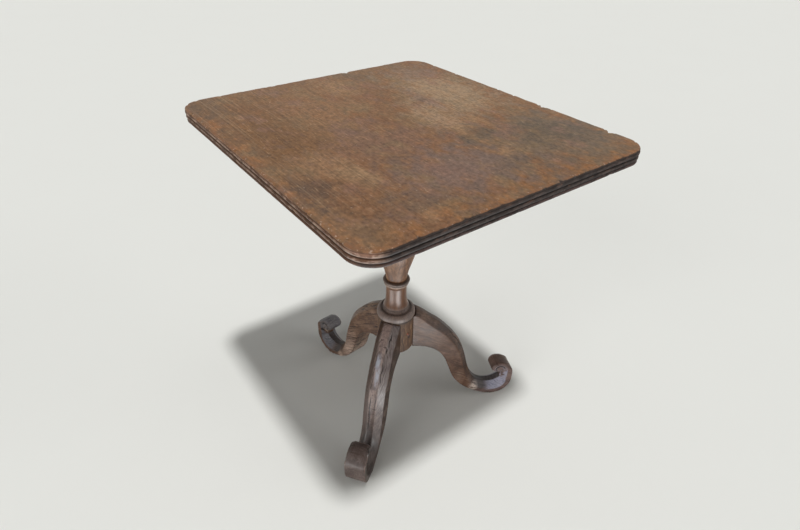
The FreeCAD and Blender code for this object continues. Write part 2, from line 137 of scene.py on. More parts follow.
def speckle(place, scale, detail=3.0, rough=0.6, shift=(0, 0, 0)):
    made = addNode("TexNoise")
    plug(mapped(place, scale, shift), made.inputs["Vector"])
    made.inputs["Scale"].default_value = 1.0
    made.inputs["Detail"].default_value = detail
    made.inputs["Roughness"].default_value = rough
    return made.outputs[0]


def patterns(place, settings):
    return {name: speckle(place, *values) for name, values in settings.items()}


# lightens and darkens a colour by patterns, each with its own weight
def shadeBy(color, *weighted, least=0.15):
    factor = plus(1.0, *[swing(pattern, weight) for pattern, weight in weighted])
    made = addNode("VectorMath", operation="SCALE")
    plug(color, made.inputs[0])
    plug(calc("MAXIMUM", factor, least), made.inputs["Scale"])
    return made.outputs[0]


def stored(name, part="Fac"):
    return addNode("Attribute", attribute_name=name).outputs[part]


def ownPlace():
    return addNode("TexCoord").outputs["Object"]


def axes(place):
    made = addNode("SeparateXYZ")
    plug(place, made.inputs[0])
    return made.outputs


def joined(*values):
    made = addNode("CombineXYZ")
    for socket, value in zip(made.inputs, values):
        plug(value, socket)
    return made.outputs[0]


def newMaterial(name):
    global tree
    material = bpy.data.materials.new(name)
    material.use_nodes = True
    tree = material.node_tree
    tree.nodes.clear()
    shader = addNode("BsdfPrincipled")
    tree.links.new(shader.outputs[0], addNode("OutputMaterial").inputs[0])
    return material, shader


# least and most roughness, following a pattern
def dullness(pattern, ends):
    return fade(pattern, 0.3, 0.7, *ends)


def finishShader(shader, look, color, rough, tall):
    relief = addNode("Bump")
    relief.inputs["Strength"].default_value, relief.inputs["Distance"].default_value = look["bump"]
    plug(tall, relief.inputs["Height"])
    for name, value in (("Base Color", color), ("Roughness", rough), ("Normal", relief.outputs[0])):
        plug(value, shader.inputs[name])
    shader.inputs["Specular IOR Level"].default_value = look["shine"]


# mesh helpers
def meshOf(work, name):
    mesh = bpy.data.meshes.new(name)
    work.to_mesh(mesh)
    work.free()
    return mesh


def smoothed(mesh, sharp):
    mesh.shade_smooth()
    mesh.set_sharp_from_angle(angle=math.radians(sharp))
    return mesh


# mesh as one modifier leaves it
def modified(mesh, kind, **settings):
    holder = bpy.data.objects.new("holder", mesh)
    scene.collection.objects.link(holder)
    change = holder.modifiers.new("change", kind)
    for name, value in settings.items():
        setattr(change, name, value)
    bpy.context.view_layer.update()
    graph = bpy.context.evaluated_depsgraph_get()
    made = bpy.data.meshes.new_from_object(holder.evaluated_get(graph))
    bpy.data.objects.remove(holder)
    made.materials.clear()
    return made


def addPiece(name, mesh, material, body, slot, *replaced):
    piece = bpy.data.objects.new(name, mesh)
    scene.collection.objects.link(piece)
    mesh.materials.append(material)
    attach(piece, body)
    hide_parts(*replaced)


# top: three boards with a reeded edge
topEdge = {
    "width": 0.548, "length": 0.607, "height": 0.696, "cornerRadius": 0.042, "cornerSteps": 36,
    "leftJoint": -0.195, "rightJoint": 0.085, "jointGap": 0.00016, "sharp": 40,
    "arris": 0.003, "arrisInset": 0.0006, "arrisSteps": 6, "wornReach": 0.011, "wornGain": 90,
    "reeds": [((0.0026, 0.693), (0.0, 0.68875), (0.0032, 0.6845)),
              ((0.0032, 0.6845), (0.0004, 0.68075), (0.0034, 0.677)),
              ((0.0034, 0.677), (0.0012, 0.674), (0.0036, 0.671))],
    "reedPoints": 9, "groovePower": 2.5,
    "step": 0.0015, "innerRows": (0.006, 0.009, 0.012, 0.016, 0.024), "underRow": 0.008,
    # chips knocked out of the far edges: side, place along it, half width, depth
    "nicks": [("y", 0.079, 0.0095, 0.0115), ("y", -0.087, 0.0060, 0.0060),
              ("x", -0.081, 0.0080, 0.0105), ("x", -0.229, 0.0090, 0.0120)],
    # wear: how close it is along and up the edge, the level it starts from, its depth
    "crumbs": (95, 95, 0.24, 0.0040), "dents": (70, 260, 0.34, 0.0026),
    "sway": (14, 0.00030), "sink": (40, 0.00045), "brim": 0.0045, "wornOver": 0.9,
    # how narrow the front corner and the near right side are, for their colours
    "frontPower": 9, "rightPower": 3,
    "values": ("reedGroove", "arrisWorn", "underside", "frontCorner", "nearRight"),
}


def arcThrough(first, middle, last, count):
    (ax, ay), (bx, by), (cx, cy) = first, middle, last
    a, b, c = ax**2 + ay**2, bx**2 + by**2, cx**2 + cy**2
    d = 2 * (ax * (by - cy) + bx * (cy - ay) + cx * (ay - by))
    ux = (a * (by - cy) + b * (cy - ay) + c * (ay - by)) / d
    uy = (a * (cx - bx) + b * (ax - cx) + c * (bx - ax)) / d
    radius = math.hypot(ax - ux, ay - uy)
    start = math.atan2(ay - uy, ax - ux)
    mid = (math.atan2(by - uy, bx - ux) - start + math.pi) % (2 * math.pi) - math.pi
    end = (math.atan2(cy - uy, cx - ux) - start) % (2 * math.pi)
    if mid < 0:
        end -= 2 * math.pi
    turns = [start + end * k / (count - 1) for k in range(count)]
    return [(ux + radius * math.cos(turn), uy + radius * math.sin(turn)) for turn in turns]


# rows of the edge from the upper face down: inset, height, dirt and painted shade, wear, on the underside
def edgeRows(edge):
    rows = []
    arris, upper = edge["arris"], edge["height"]
    center = edge["arrisInset"] + arris
    for inset in reversed(edge["innerRows"]):
        worn = max(0.0, edge["wornReach"] - inset) * edge["wornGain"]
        rows.append((inset, upper, 0.0, worn, 0.0))
    for k in range(edge["arrisSteps"] + 1):
        turn = math.radians(90 - 90 / edge["arrisSteps"] * k)
        rows.append((center - arris * math.cos(turn), upper - arris + arris * math.sin(turn), 0.0, 1.0, 0.0))
    for reed in edge["reeds"]:
        count = edge["reedPoints"]
        for k, (inset, height) in enumerate(arcThrough(*reed, count)):
            if k == 0 and reed is not edge["reeds"][0]:
                continue
            side = abs(2 * k / (count - 1) - 1)
            rows.append((inset, height, side ** edge["groovePower"], 0.0, 0.0))
    rows.append((edge["underRow"], edge["reeds"][-1][2][1], 0.0, 0.0, 1.0))
    return rows


# stations round the outline: place on it, outward direction, letter of a straight side
def edgeStations(edge):
    radius = edge["cornerRadius"]
    halfX, halfY = edge["width"] / 2 - radius, edge["length"] / 2 - radius
    corners = [(halfX, halfY), (-halfX, halfY), (-halfX, -halfY), (halfX, -halfY)]
    stations = []
    for quarter, corner in enumerate(corners):
        for k in range(edge["cornerSteps"] + 1):
            turn = math.radians(90 * quarter + 90 / edge["cornerSteps"] * k)
            out = Vector((math.cos(turn), math.sin(turn), 0))
            stations.append((Vector((*corner, 0)) + out * radius, out, ""))
        following = Vector((*corners[(quarter + 1) % 4], 0)) + out * radius
        begin = stations[-1][0]
        steps = round((following - begin).length / edge["step"])
        for k in range(1, steps):
            stations.append((begin.lerp(following, k / steps), out, "yxyx"[quarter]))
    return stations


def chipDepth(edge, spot, side):
    deep = 0.0
    for letter, along, half, depth in edge["nicks"]:
        if side == letter and (spot.x if letter == "x" else spot.y) > 0:
            run = spot.y if letter == "x" else spot.x
            deep = max(deep, depth * max(0.0, 1 - abs(run - along) / half))
    return deep


def pit(spot, height, wear):
    close, upClose, level, depth = wear
    return max(0.0, noise.noise(Vector((spot.x * close, spot.y * close, height * upClose))) - level) * depth


def makeTop(edge):
    rows, lowest = edgeRows(edge), edge["reeds"][0][2][1]
    work = bmesh.new()
    layers = [work.verts.layers.float.new(name) for name in edge["values"]]
    (swayClose, swayBy), (sinkClose, sinkBy) = edge["sway"], edge["sink"]
    grid = []
    for spot, out, side in edgeStations(edge):
        chip, crumb = chipDepth(edge, spot, side), pit(spot, 0, edge["crumbs"])
        front = max(0.0, -(out.x + out.y) / math.sqrt(2)) ** edge["frontPower"]
        nearRight = max(0.0, -out.y) ** edge["rightPower"] * (1 - front)
        sway = swayBy * noise.noise(spot * swayClose)
        column = []
        for inset, height, dirtAndShade, worn, under in rows:
            crumbled = crumb * (worn > edge["wornOver"])
            cut = chip * min(1.0, max(0.0, (height - lowest) / (edge["height"] - lowest - edge["arris"])))
            push = sway + cut * (inset < edge["brim"]) + pit(spot, height, edge["dents"]) * (dirtAndShade > 0) + crumbled
            if edge["brim"] <= inset < chip and not under:
                push = chip - inset
            sink = sinkBy * worn * (0.5 + noise.noise(spot * sinkClose)) + 0.5 * crumbled
            place = spot - out * (inset + push)
            vert = work.verts.new((place.x, place.y, height - sink * (under == 0)))
            for layer, value in zip(layers, (dirtAndShade, worn, under, front, nearRight)):
                vert[layer] = value
            column.append(vert)
        grid.append(column)
    for first, second in zip(grid, grid[1:] + grid[:1]):
        for k in range(len(rows) - 1):
            work.faces.new((first[k], first[k + 1], second[k + 1], second[k]))
    work.faces.new([column[0] for column in grid])
    work.faces.new([column[-1] for column in reversed(grid)])
    bmesh.ops.recalc_face_normals(work, faces=work.faces)
    return work


def cutBoard(whole, low, high):
    board = whole.copy()
    for at, keep in ((low, 1), (high, -1)):
        if at is None:
            continue
        everything = board.verts[:] + board.edges[:] + board.faces[:]
        cut = bmesh.ops.bisect_plane(board, geom=everything, plane_co=(at, 0, 0), plane_no=(keep, 0, 0),
                                     clear_inner=True)
        rim = [part for part in cut["geom_cut"] if isinstance(part, bmesh.types.BMEdge)]
        bmesh.ops.triangle_fill(board, use_beauty=True, edges=rim)
    bmesh.ops.recalc_face_normals(board, faces=board.faces)
    return board


topLook = {
    "brown": (121, 91, 65), "redBrown": (118, 84, 59), "greyBrown": (102, 82, 63), "tan": (140, 111, 83),
    "olive": (121, 99, 73), "mauve": (123, 94, 81), "line": (84, 62, 45), "fleck": (176, 150, 122),
    "orange": (138, 92, 53), "seam": (80, 59, 44), "arris": (124, 86, 60), "arrisDot": (178, 156, 138),
    "reed": (82, 53, 34), "reedCrest": (136, 111, 94), "groove": (50, 38, 32), "lowCrest": (120, 95, 82),
    "cornerReed": (146, 109, 90), "cornerCrest": (212, 182, 164), "cornerFoot": (72, 60, 56),
    "darkReed": (38, 31, 29), "darkCrest": (62, 52, 49), "darkGroove": (22, 18, 18), "darkFoot": (76, 59, 56),
    "rust": (92, 63, 48), "under": (106, 82, 60), "underDark": (82, 62, 46),
    "bump": (0.4, 0.0010), "shine": 0.28, "rough": (0.52, 0.68), "edgeDull": 0.2,
    # patterns: how close across, along and through the boards, detail, roughness, shift
    "wander": ((9, 4, 9), 2.0), "wanderBy": 0.012,
    "alongGrain": {"lines": ((330, 11, 5), 4.0), "flecks": ((400, 58, 7), 3.0), "longLines": ((460, 2.4, 9), 2.0)},
    "allOver": {"specks": ((200, 150, 9), 3.0, 0.7), "patches": ((52, 34, 20), 4.0, 0.62, (3.1, 1.7, 0)),
                "mottle": ((11, 7, 8), 4.0), "haze": ((21, 15, 9), 4.0, 0.65, (7.7, 2.3, 0)),
                "dots": ((260, 260, 260), 2.0), "sideMix": ((75, 75, 170), 4.0)},
    # zones of the top: axis, where it starts and is full, least and most
    "zones": {"streaky": [("y", -0.25, 0.02, 0.30, 1.0)], "dotted": [("x", 0.12, -0.10, 0.2, 0.6)],
              "leftPart": [("x", -0.05, -0.16, 0.12, 1.0), ("y", -0.27, -0.10, 0.2, 1.0)]},
    "rubbedEdges": [("y", -0.245, -0.303), ("x", -0.235, -0.274), ("x", 0.235, 0.274, 0.0, 0.3)],
    # heights on the edge
    "reedsFrom": (0.6938, 0.6926), "lowReeds": (0.6854, 0.6838), "reedFoot": (0.6772, 0.6764),
    "brinkSway": 0.003,
    "firstCoats": [
        ("olive", 0.55, ("haze", 0.52, 0.66)), ("mauve", 0.50, ("haze", 0.46, 0.34)),
        ("orange", 0.55, ("rubbed",), ("patches", 0.46, 0.64))],
    "lastCoats": [
        ("fleck", 0.50, ("flecks", 0.60, 0.70), ("patches", 0.40, 0.58)),
        ("line", 0.35, ("flecks", 0.40, 0.30), ("streaky",)),
        ("line", 0.58, ("longLines", 0.57, 0.68), ("leftPart",)),
        ("fleck", 0.26, ("longLines", 0.42, 0.32), ("leftPart",)),
        ("arrisDot", 1.0, ("dots", 0.66, 0.74), ("dotted",)),
        ("seam", 0.60, ("leftJoint", 0.0010, 0.0003), ("patches", 0.42, 0.60)),
        ("seam", 0.60, ("rightJoint", 0.0010, 0.0003), ("patches", 0.42, 0.60)),
        ("arris", 0.75, ("arrisWorn",), ("sideMix", 0.40, 0.58)),
        ("arrisDot", 0.60, ("arrisWorn",), ("dots", 0.60, 0.68)),
        ("darkReed", 1.0, ("nearRight",), ("raggedHeight", 0.6972, 0.6958))],
    # stains: place, half size, colour, share
    "stains": [
        ((-0.205, 0.060), (0.100, 0.300), (109, 77, 49), 0.80),
        ((0.176, 0.100), (0.095, 0.150), (155, 130, 103), 0.74),
        ((0.150, 0.010), (0.110, 0.080), (150, 125, 98), 0.65),
        ((0.075, -0.015), (0.055, 0.100), (154, 127, 101), 0.78),
        ((0.005, 0.225), (0.045, 0.075), (150, 118, 86), 0.55),
        ((-0.130, 0.240), (0.090, 0.060), (120, 88, 60), 0.55),
        ((-0.194, -0.070), (0.055, 0.065), (144, 112, 84), 0.60),
        ((-0.080, 0.130), (0.090, 0.110), (138, 105, 76), 0.50),
        ((-0.060, -0.060), (0.120, 0.100), (121, 92, 77), 0.60),
        ((0.115, 0.060), (0.022, 0.120), (124, 102, 89), 0.60),
        ((0.200, 0.215), (0.090, 0.060), (122, 99, 84), 0.60),
        ((0.150, -0.185), (0.195, 0.135), (108, 92, 76), 0.82),
        ((-0.030, -0.195), (0.150, 0.100), (117, 96, 87), 0.78),
        ((0.076, -0.106), (0.066, 0.054), (94, 80, 66), 0.62),
        ((0.172, -0.166), (0.074, 0.056), (88, 75, 62), 0.68),
        ((0.236, -0.200), (0.050, 0.050), (92, 78, 65), 0.70),
        ((0.045, -0.226), (0.055, 0.034), (96, 80, 68), 0.58),
        ((-0.088, -0.104), (0.040, 0.034), (100, 79, 64), 0.55),
        ((-0.140, -0.240), (0.085, 0.040), (101, 83, 69), 0.60),
        ((-0.236, -0.140), (0.040, 0.060), (90, 69, 55), 0.78),
        ((-0.250, 0.270), (0.060, 0.090), (98, 76, 58), 0.70),
        ((0.110, 0.070), (0.014, 0.012), (92, 73, 58), 0.70),
        ((-0.030, -0.012), (0.015, 0.020), (98, 78, 61), 0.55),
    ],
}


# a soft blot with a ragged edge, at a spot in the plane of the top
def blot(color, place, ragged, stain):
    (x, y), (wide, long), shown, share = stain
    away = addNode("VectorMath", operation="LENGTH")
    plug(mapped(place, (1 / wide, 1 / long, 0), (-x / wide, -y / long, 0)), away.inputs[0])
    return paint(color, shown, fade(plus(away.outputs["Value"], ragged), 1.15, 0.2, 0.0, share))


# reeds: brown to the left, red-brown on the front corner, dark on the near right; painted highlights and wear on
# the crests, painted shade and dirt in the grooves
def reedColor(look, seen, z):
    corner, nearRight, mix = seen["frontCorner"], seen["nearRight"], seen["sideMix"]
    lower = times(corner, fade(z, *look["lowReeds"]), 0.8)
    rusty = paint(look["darkReed"], look["rust"], fade(mix, 0.56, 0.68, 0.0, 0.6))
    body = paint(paint(look["reed"], look["cornerReed"], corner), look["reed"], lower)
    crest = paint(paint(look["reedCrest"], look["cornerCrest"], corner), look["lowCrest"], lower)
    foot = paint(paint(look["reed"], look["cornerFoot"], corner), look["darkFoot"], nearRight)
    shown = {"crest": paint(crest, look["darkCrest"], nearRight), "foot": foot,
             "groove": paint(look["groove"], look["darkGroove"], nearRight)}
    color = coats(paint(body, rusty, nearRight), shown, {**seen, "height": z}, [
        ("crest", 1.0, ("reedGroove", 0.26, 0.0), ("sideMix", 0.40, 0.60)),
        ("foot", 1.0, ("height", *look["reedFoot"]), ("sideMix", 0.34, 0.54)),
        ("groove", 1.0, ("reedGroove", 0.28, 0.85))])
    return shadeBy(color, (mix, 0.9), (seen["specks"], 0.6))


def topWood(look, edge):
    material, shader = newMaterial("wornTopWood")
    place = ownPlace()
    at = dict(zip("xyz", axes(place)))
    board = plus(*[calc("GREATER_THAN", at["x"], edge[joint]) for joint in ("leftJoint", "rightJoint")])
    wander = times(speckle(place, *look["wander"]), look["wanderBy"])
    seen = patterns(joined(plus(at["x"], wander), at["y"], board), look["alongGrain"])
    seen.update(patterns(place, look["allOver"]))
    seen.update({name: stored(name) for name in edge["values"]})
    for joint in ("leftJoint", "rightJoint"):
        seen[joint] = calc("ABSOLUTE", calc("SUBTRACT", at["x"], edge[joint]), 0.0)
    for name, parts in look["zones"].items():
        seen[name] = times(*[fade(at[axis], *ends) for axis, *ends in parts])
    seen["rubbed"] = calc("MAXIMUM", *[fade(at[axis], *ends) for axis, *ends in look["rubbedEdges"]])
    seen["raggedHeight"] = plus(at["z"], times(seen["sideMix"], look["brinkSway"]))
    color = ramp(seen["mottle"], (0.32, look["greyBrown"]), (0.46, look["brown"]),
                 (0.56, look["redBrown"]), (0.70, look["tan"]))
    ragged = plus(swing(seen["patches"], 2.2), swing(seen["mottle"], 1.5))
    for stain in look["stains"]:
        color = blot(color, place, ragged, stain)
    color = coats(color, look, seen, look["firstCoats"])
    streaks = times(seen["streaky"], 0.9)
    color = shadeBy(color, (seen["lines"], streaks), (seen["flecks"], streaks), (seen["specks"], 1.7),
                    (seen["patches"], 1.0))
    color = coats(color, look, seen, look["lastCoats"])
    color = paint(color, reedColor(look, seen, at["z"]), fade(at["z"], *look["reedsFrom"]))
    # bare underside
    bare = paint(look["under"], look["underDark"], fade(seen["lines"], 0.42, 0.64))
    bare = paint(bare, look["underDark"], fade(seen["mottle"], 0.45, 0.70, 0.0, 0.5))
    color = paint(color, bare, seen["underside"])
    rough = plus(dullness(seen["patches"], look["rough"]),
                 *[times(seen[name], look["edgeDull"]) for name in ("underside", "nearRight")])
    tall = plus(times(seen["flecks"], 0.8), seen["lines"], times(seen["patches"], 0.6))
    finishShader(shader, look, color, rough, tall)
    return material


whole = makeTop(topEdge)
wornTop = topWood(topLook, topEdge)
halfGap = topEdge["jointGap"] / 2
for name, node, low, high in (
        ("topLeftBoard", "top_board_left", None, topEdge["leftJoint"] - halfGap),
        ("topCentreBoard", "top_board_centre", topEdge["leftJoint"] + halfGap, topEdge["rightJoint"] - halfGap),
        ("topRightBoard", "top_board_right", topEdge["rightJoint"] + halfGap, None)):
    board = smoothed(meshOf(cutBoard(whole, low, high), name), topEdge["sharp"])
    addPiece(name, board, wornTop, "top", "top_wood", node)
whole.free()
print("top boards made")


# column: one turning from the drum up to the tenon, with three dovetail sockets
turning = {
    "segments": 144, "uneven": 0.00028, "unevenClose": 30, "outOfRound": 0.00018, "ovalTurn": 0.6, "sharp": 50,
    "socketAngles": (-145, -25, 95), "socketHeights": (0.180, 0.2576), "socketOut": 0.004,
    "drumRadius": 0.039, "socketDepth": 0.015, "socketNeck": 0.014, "socketTip": 0.020,
}


def smoothRun(first, last, firstSlope, lastSlope, count):
    (r0, z0), (r1, z1) = first, last
    run = z1 - z0
    points = []
    for k in range(count):
        t = k / (count - 1)
        radius = (r0 * (2 * t**3 - 3 * t**2 + 1) + firstSlope * run * (t**3 - 2 * t**2 + t)
                  + r1 * (3 * t**2 - 2 * t**3) + lastSlope * run * (t**3 - t**2))
        points.append((radius, z0 + run * t))
    return points


# runs of the outline in millimetres, each with the dirt and painted shade at its two ends and all along it
def turnedOutline():
    bead = arcThrough((24.9, 364.4), (27.5, 367.2), (25.2, 370.0), 11)
    runs = [
        ([(0.0, 189.5), (14.0, 189.5), (30.0, 189.5)], 0.2, 0.2),
        (arcThrough((30.0, 189.5), (36.36, 192.14), (39.0, 198.5), 9), 0.1, 0.0),
        ([(39.0, 198.5 + 7.9 * k) for k in range(11)], 0.0, 0.15),
        ([(39.0, 277.5), (39.0, 278.6), (39.0, 279.7)], 0.15, 1.0, 0.6),
        ([(39.0, 279.7), (40.2, 280.1)], 1.0, 0.3),
        (arcThrough((40.2, 280.1), (40.5, 281.5), (40.4, 283.1), 4), 0.3, 0.0),
        (arcThrough((40.4, 283.1), (38.4, 291.1), (32.5, 295.1), 14), 0.0, 0.55),
        (arcThrough((32.5, 295.1), (25.0, 298.35), (27.0, 301.6), 12), 0.5, 0.7, 0.30),
        (smoothRun((27.0, 301.6), (21.2, 330.0), -0.46, -0.04, 22), 0.35, 0.0),
        (smoothRun((21.2, 330.0), (21.0, 352.1), -0.04, 0.0, 12), 0.0, 0.22),
        (arcThrough((21.0, 352.1), (24.75, 358.2), (26.4, 364.0), 10), 0.22, 0.5),
        ([(26.4, 364.0), (24.9, 364.4)], 0.6, 1.0),
        (bead[:6], 0.9, 0.0, 0.20),
        (bead[5:], 0.0, 0.5, 0.52),
        ([(25.2, 370.0), (20.8, 370.1)], 0.4, 0.5),
        (smoothRun((20.8, 370.1), (25.0, 392.1), 0.15, 0.25, 14), 0.4, 0.0),
        (smoothRun((25.0, 392.1), (38.0, 445.1), 0.25, 0.0, 24), 0.0, 0.0),
        (smoothRun((38.0, 445.1), (23.0, 593.0), 0.0, 0.0, 50), 0.0, 0.8),
        (arcThrough((23.0, 593.0), (29.0, 598.5), (23.0, 604.0), 13), 0.8, 0.9),
        (arcThrough((23.0, 604.0), (26.3, 620.8), (34.0, 628.0), 14), 0.9, 0.1),
        ([(34.0, 628.0), (34.0, 635.0)], 0.2, 0.2),
        ([(34.0, 635.0), (22.0, 635.0)], 0.3, 0.5),
        ([(22.0, 635.0), (22.0, 653.0), (22.0, 670.5)], 0.3, 0.0),
        ([(22.0, 670.5), (0.0, 670.5)], 0.0, 0.0),
    ]
    outline = []
    for points, start, end, *allAlong in runs:
        for k, (radius, height) in enumerate(points):
            t = k / (len(points) - 1)
            dirtAndShade = max(start * max(0.0, 1 - 4 * t), end * max(0.0, 4 * t - 3), *allAlong, 0.0)
            if outline and k == 0:
                outline[-1] = (*outline[-1][:2], max(outline[-1][2], dirtAndShade))
            else:
                outline.append((radius / 1000, height / 1000, dirtAndShade))
    return outline


def turnColumn(look):
    work = bmesh.new()
    dirtAndShadeLayer = work.verts.layers.float.new("turnDirtAndShade")
    rings = []
    for radius, height, dirtAndShade in turnedOutline():
        if radius < 1e-6:
            rings.append([work.verts.new((0, 0, height))])
            continue
        ring = []
        for k in range(look["segments"]):
            turn = 2 * math.pi * k / look["segments"]
            away = Vector((math.cos(turn), math.sin(turn), 0))
            spot = away * radius + Vector((0, 0, height))
            # slightly out of round, as old turnings dry
            push = (look["uneven"] * noise.noise(spot * look["unevenClose"])
                    + look["outOfRound"] * math.cos(2 * turn + look["ovalTurn"]))
            vert = work.verts.new(spot + away * push)
            vert[dirtAndShadeLayer] = dirtAndShade
            ring.append(vert)
        rings.append(ring)
    for low, high in zip(rings, rings[1:]):
        for k in range(look["segments"]):
            following = (k + 1) % look["segments"]
            if len(low) == 1:
                work.faces.new((low[0], high[following], high[k]))
            elif len(high) == 1:
                work.faces.new((low[k], low[following], high[0]))
            else:
                work.faces.new((low[k], low[following], high[following], high[k]))
    bmesh.ops.recalc_face_normals(work, faces=work.faces)
    return work


def socketCutter(look):
    work = bmesh.new()
    radius, neck, tip = look["drumRadius"], look["socketNeck"] / 2, look["socketTip"] / 2
    outer, inner = radius + look["socketOut"], radius - look["socketDepth"]
    flat = [(outer, -neck), (radius, -neck), (inner, -tip), (inner, tip), (radius, neck), (outer, neck)]
    for angle in look["socketAngles"]:
        turn = Matrix.Rotation(math.radians(angle), 3, "Z")
        ends = [[work.verts.new(turn @ Vector((*point, height))) for point in flat]
                for height in look["socketHeights"]]
        work.faces.new(ends[0])
        work.faces.new(ends[1])
        for k in range(len(flat)):
            following = (k + 1) % len(flat)
            work.faces.new((ends[0][k], ends[0][following], ends[1][following], ends[1][k]))
    bmesh.ops.recalc_face_normals(work, faces=work.faces)
    return work


def makeColumn(look):
    sockets = bpy.data.objects.new("sockets", meshOf(socketCutter(look), "sockets"))
    scene.collection.objects.link(sockets)
    mesh = modified(meshOf(turnColumn(look), "turned"), "BOOLEAN",
                    operation="DIFFERENCE", solver="EXACT", object=sockets)
    bpy.data.objects.remove(sockets)
    return smoothed(mesh, look["sharp"])


columnLook = {
    "warm": (108, 70, 41), "pale": (131, 95, 66), "deep": (82, 48, 25), "pore": (72, 50, 36),
    "neck": (92, 53, 24), "collar": (114, 101, 96), "drum": (80, 52, 29), "drumSpeck": (130, 98, 66),
    # at holeSpot a dark spot is painted as the shade of a nail hole the turning lacks
    "ring": (162, 140, 128), "dirtAndShade": (34, 27, 25), "hole": (42, 29, 22), "holeSpot": (0.0075, -0.0385, 0.2310),
    "bump": (0.26, 0.0006), "shine": 0.32, "rough": (0.44, 0.56), "neckPolish": 0.15, "drumDull": 0.25,
    "patterns": {"grain": ((170, 170, 7), 5.0), "pores": ((520, 520, 45), 3.0), "mottle": ((24, 24, 14), 4.0)},
    # turned parts by height; the ring band is paler as a painted highlight, and the collar band runs on over the
    # cove onto the foot of the neck as a painted reflection
    "bands": {"neck": [(0.300, 0.308), (0.368, 0.340)], "collar": [(0.2780, 0.2805), (0.3100, 0.2995)],
              "ring": [(0.3565, 0.3590), (0.3705, 0.3695)], "drum": [(0.2805, 0.2785)]},
    "firstCoats": [("pale", 0.5, ("mottle", 0.42, 0.66)), ("neck", 0.75, ("neck",)), ("collar", 0.8, ("collar",)),
                   ("ring", 0.85, ("ring",)), ("speckled", 0.85, ("drum",))],
    "lastCoats": [("pore", 0.5, ("pores", 0.40, 0.28)), ("hole", 0.9, ("fromHole", 0.0046, 0.0026)),
                  ("dirtAndShade", 0.92, ("dirtAndShade", 0.12, 0.75))],
}


def columnWood(look):
    material, shader = newMaterial("turnedColumnWood")
    place = ownPlace()
    height = axes(place)[2]
    seen = patterns(place, look["patterns"])
    for name, ends in look["bands"].items():
        seen[name] = times(*[fade(height, *pair) for pair in ends])
    hole = addNode("VectorMath", operation="DISTANCE")
    plug(place, hole.inputs[0])
    hole.inputs[1].default_value = look["holeSpot"]
    seen["fromHole"] = hole.outputs["Value"]
    # grooves and the meetings of turned parts darken with dirt and painted shade
    seen["dirtAndShade"] = plus(stored("turnDirtAndShade"), swing(seen["mottle"], 0.6))
    speckled = paint(look["drum"], look["drumSpeck"], fade(seen["pores"], 0.50, 0.64))
    color = ramp(seen["grain"], (0.36, look["deep"]), (0.48, look["warm"]), (0.64, look["pale"]))
    color = coats(color, {**look, "speckled": speckled}, seen, look["firstCoats"])
    color = shadeBy(color, (seen["grain"], 0.8), (seen["pores"], 0.9), (seen["mottle"], 0.9))
    color = coats(color, look, seen, look["lastCoats"])
    rough = calc("SUBTRACT", dullness(seen["mottle"], look["rough"]), times(seen["neck"], look["neckPolish"]))
    rough = plus(rough, times(seen["drum"], look["drumDull"]))
    finishShader(shader, look, color, rough, plus(seen["grain"], times(seen["pores"], 0.6)))
    return material


addPiece("turnedColumn", makeColumn(turning), columnWood(columnLook), "base", "column_wood", "column")
print("column turned")


# legs: worn copies of the planks, with the scrolls carved in
legShapes = {
    # cracks: from, to and sideways place along the leg; painted highlights the same with half their width
    "frontLeg": {
        "node": "leg_front", "angle": -145, "reach": 0.249, "grain": -58, "seed": 3.0, "scuffAndHighlight": (0.150, 0.012),
        "bow": -0.0030, "rise": 0.0042, "shaded": 1.0, "paleSide": (0.10, 0.10, 0.02), "paleShare": 0.0,
        "paintedHighlights": [(0.094, 0.112, -0.0030, 0.0042), (0.108, 0.129, 0.0005, 0.0042)], "holes": [], "holeHighlights": [],
        "cracks": [(0.058, 0.078, 0.0110), (0.081, 0.090, 0.0098), (0.100, 0.124, 0.0082),
                   (0.108, 0.134, -0.0082), (0.138, 0.154, -0.0064), (0.137, 0.147, 0.0040)]},
    "rightLeg": {
        "node": "leg_right", "angle": -25, "reach": 0.286, "grain": -27, "seed": 11.0, "scuffAndHighlight": (0.189, 0.031),
        "bow": 0.0, "rise": 0.0118, "shaded": 0.0, "paleSide": (0.070, 0.225, 0.030), "paleShare": 0.4,
        "paintedHighlights": [], "holes": [], "holeHighlights": [], "cracks": [(0.120, 0.150, -0.0110)]},
    # the scroll of the rear foot has a worm hole with a painted highlight beside it
    "rearLeg": {
        "node": "leg_rear", "angle": 95, "reach": 0.286, "grain": -32, "seed": 23.0, "scuffAndHighlight": (0.186, 0.026),
        "bow": 0.0, "rise": 0.0055, "shaded": 0.0, "paleSide": (0.140, 0.074, 0.050), "paleShare": 1.0,
        "paintedHighlights": [], "holes": [(0.2692, 0.0556, 0.0046)], "holeHighlights": [(0.2605, 0.0545, 0.0036)],
        "cracks": [(0.090, 0.120, 0.0060)]},
}
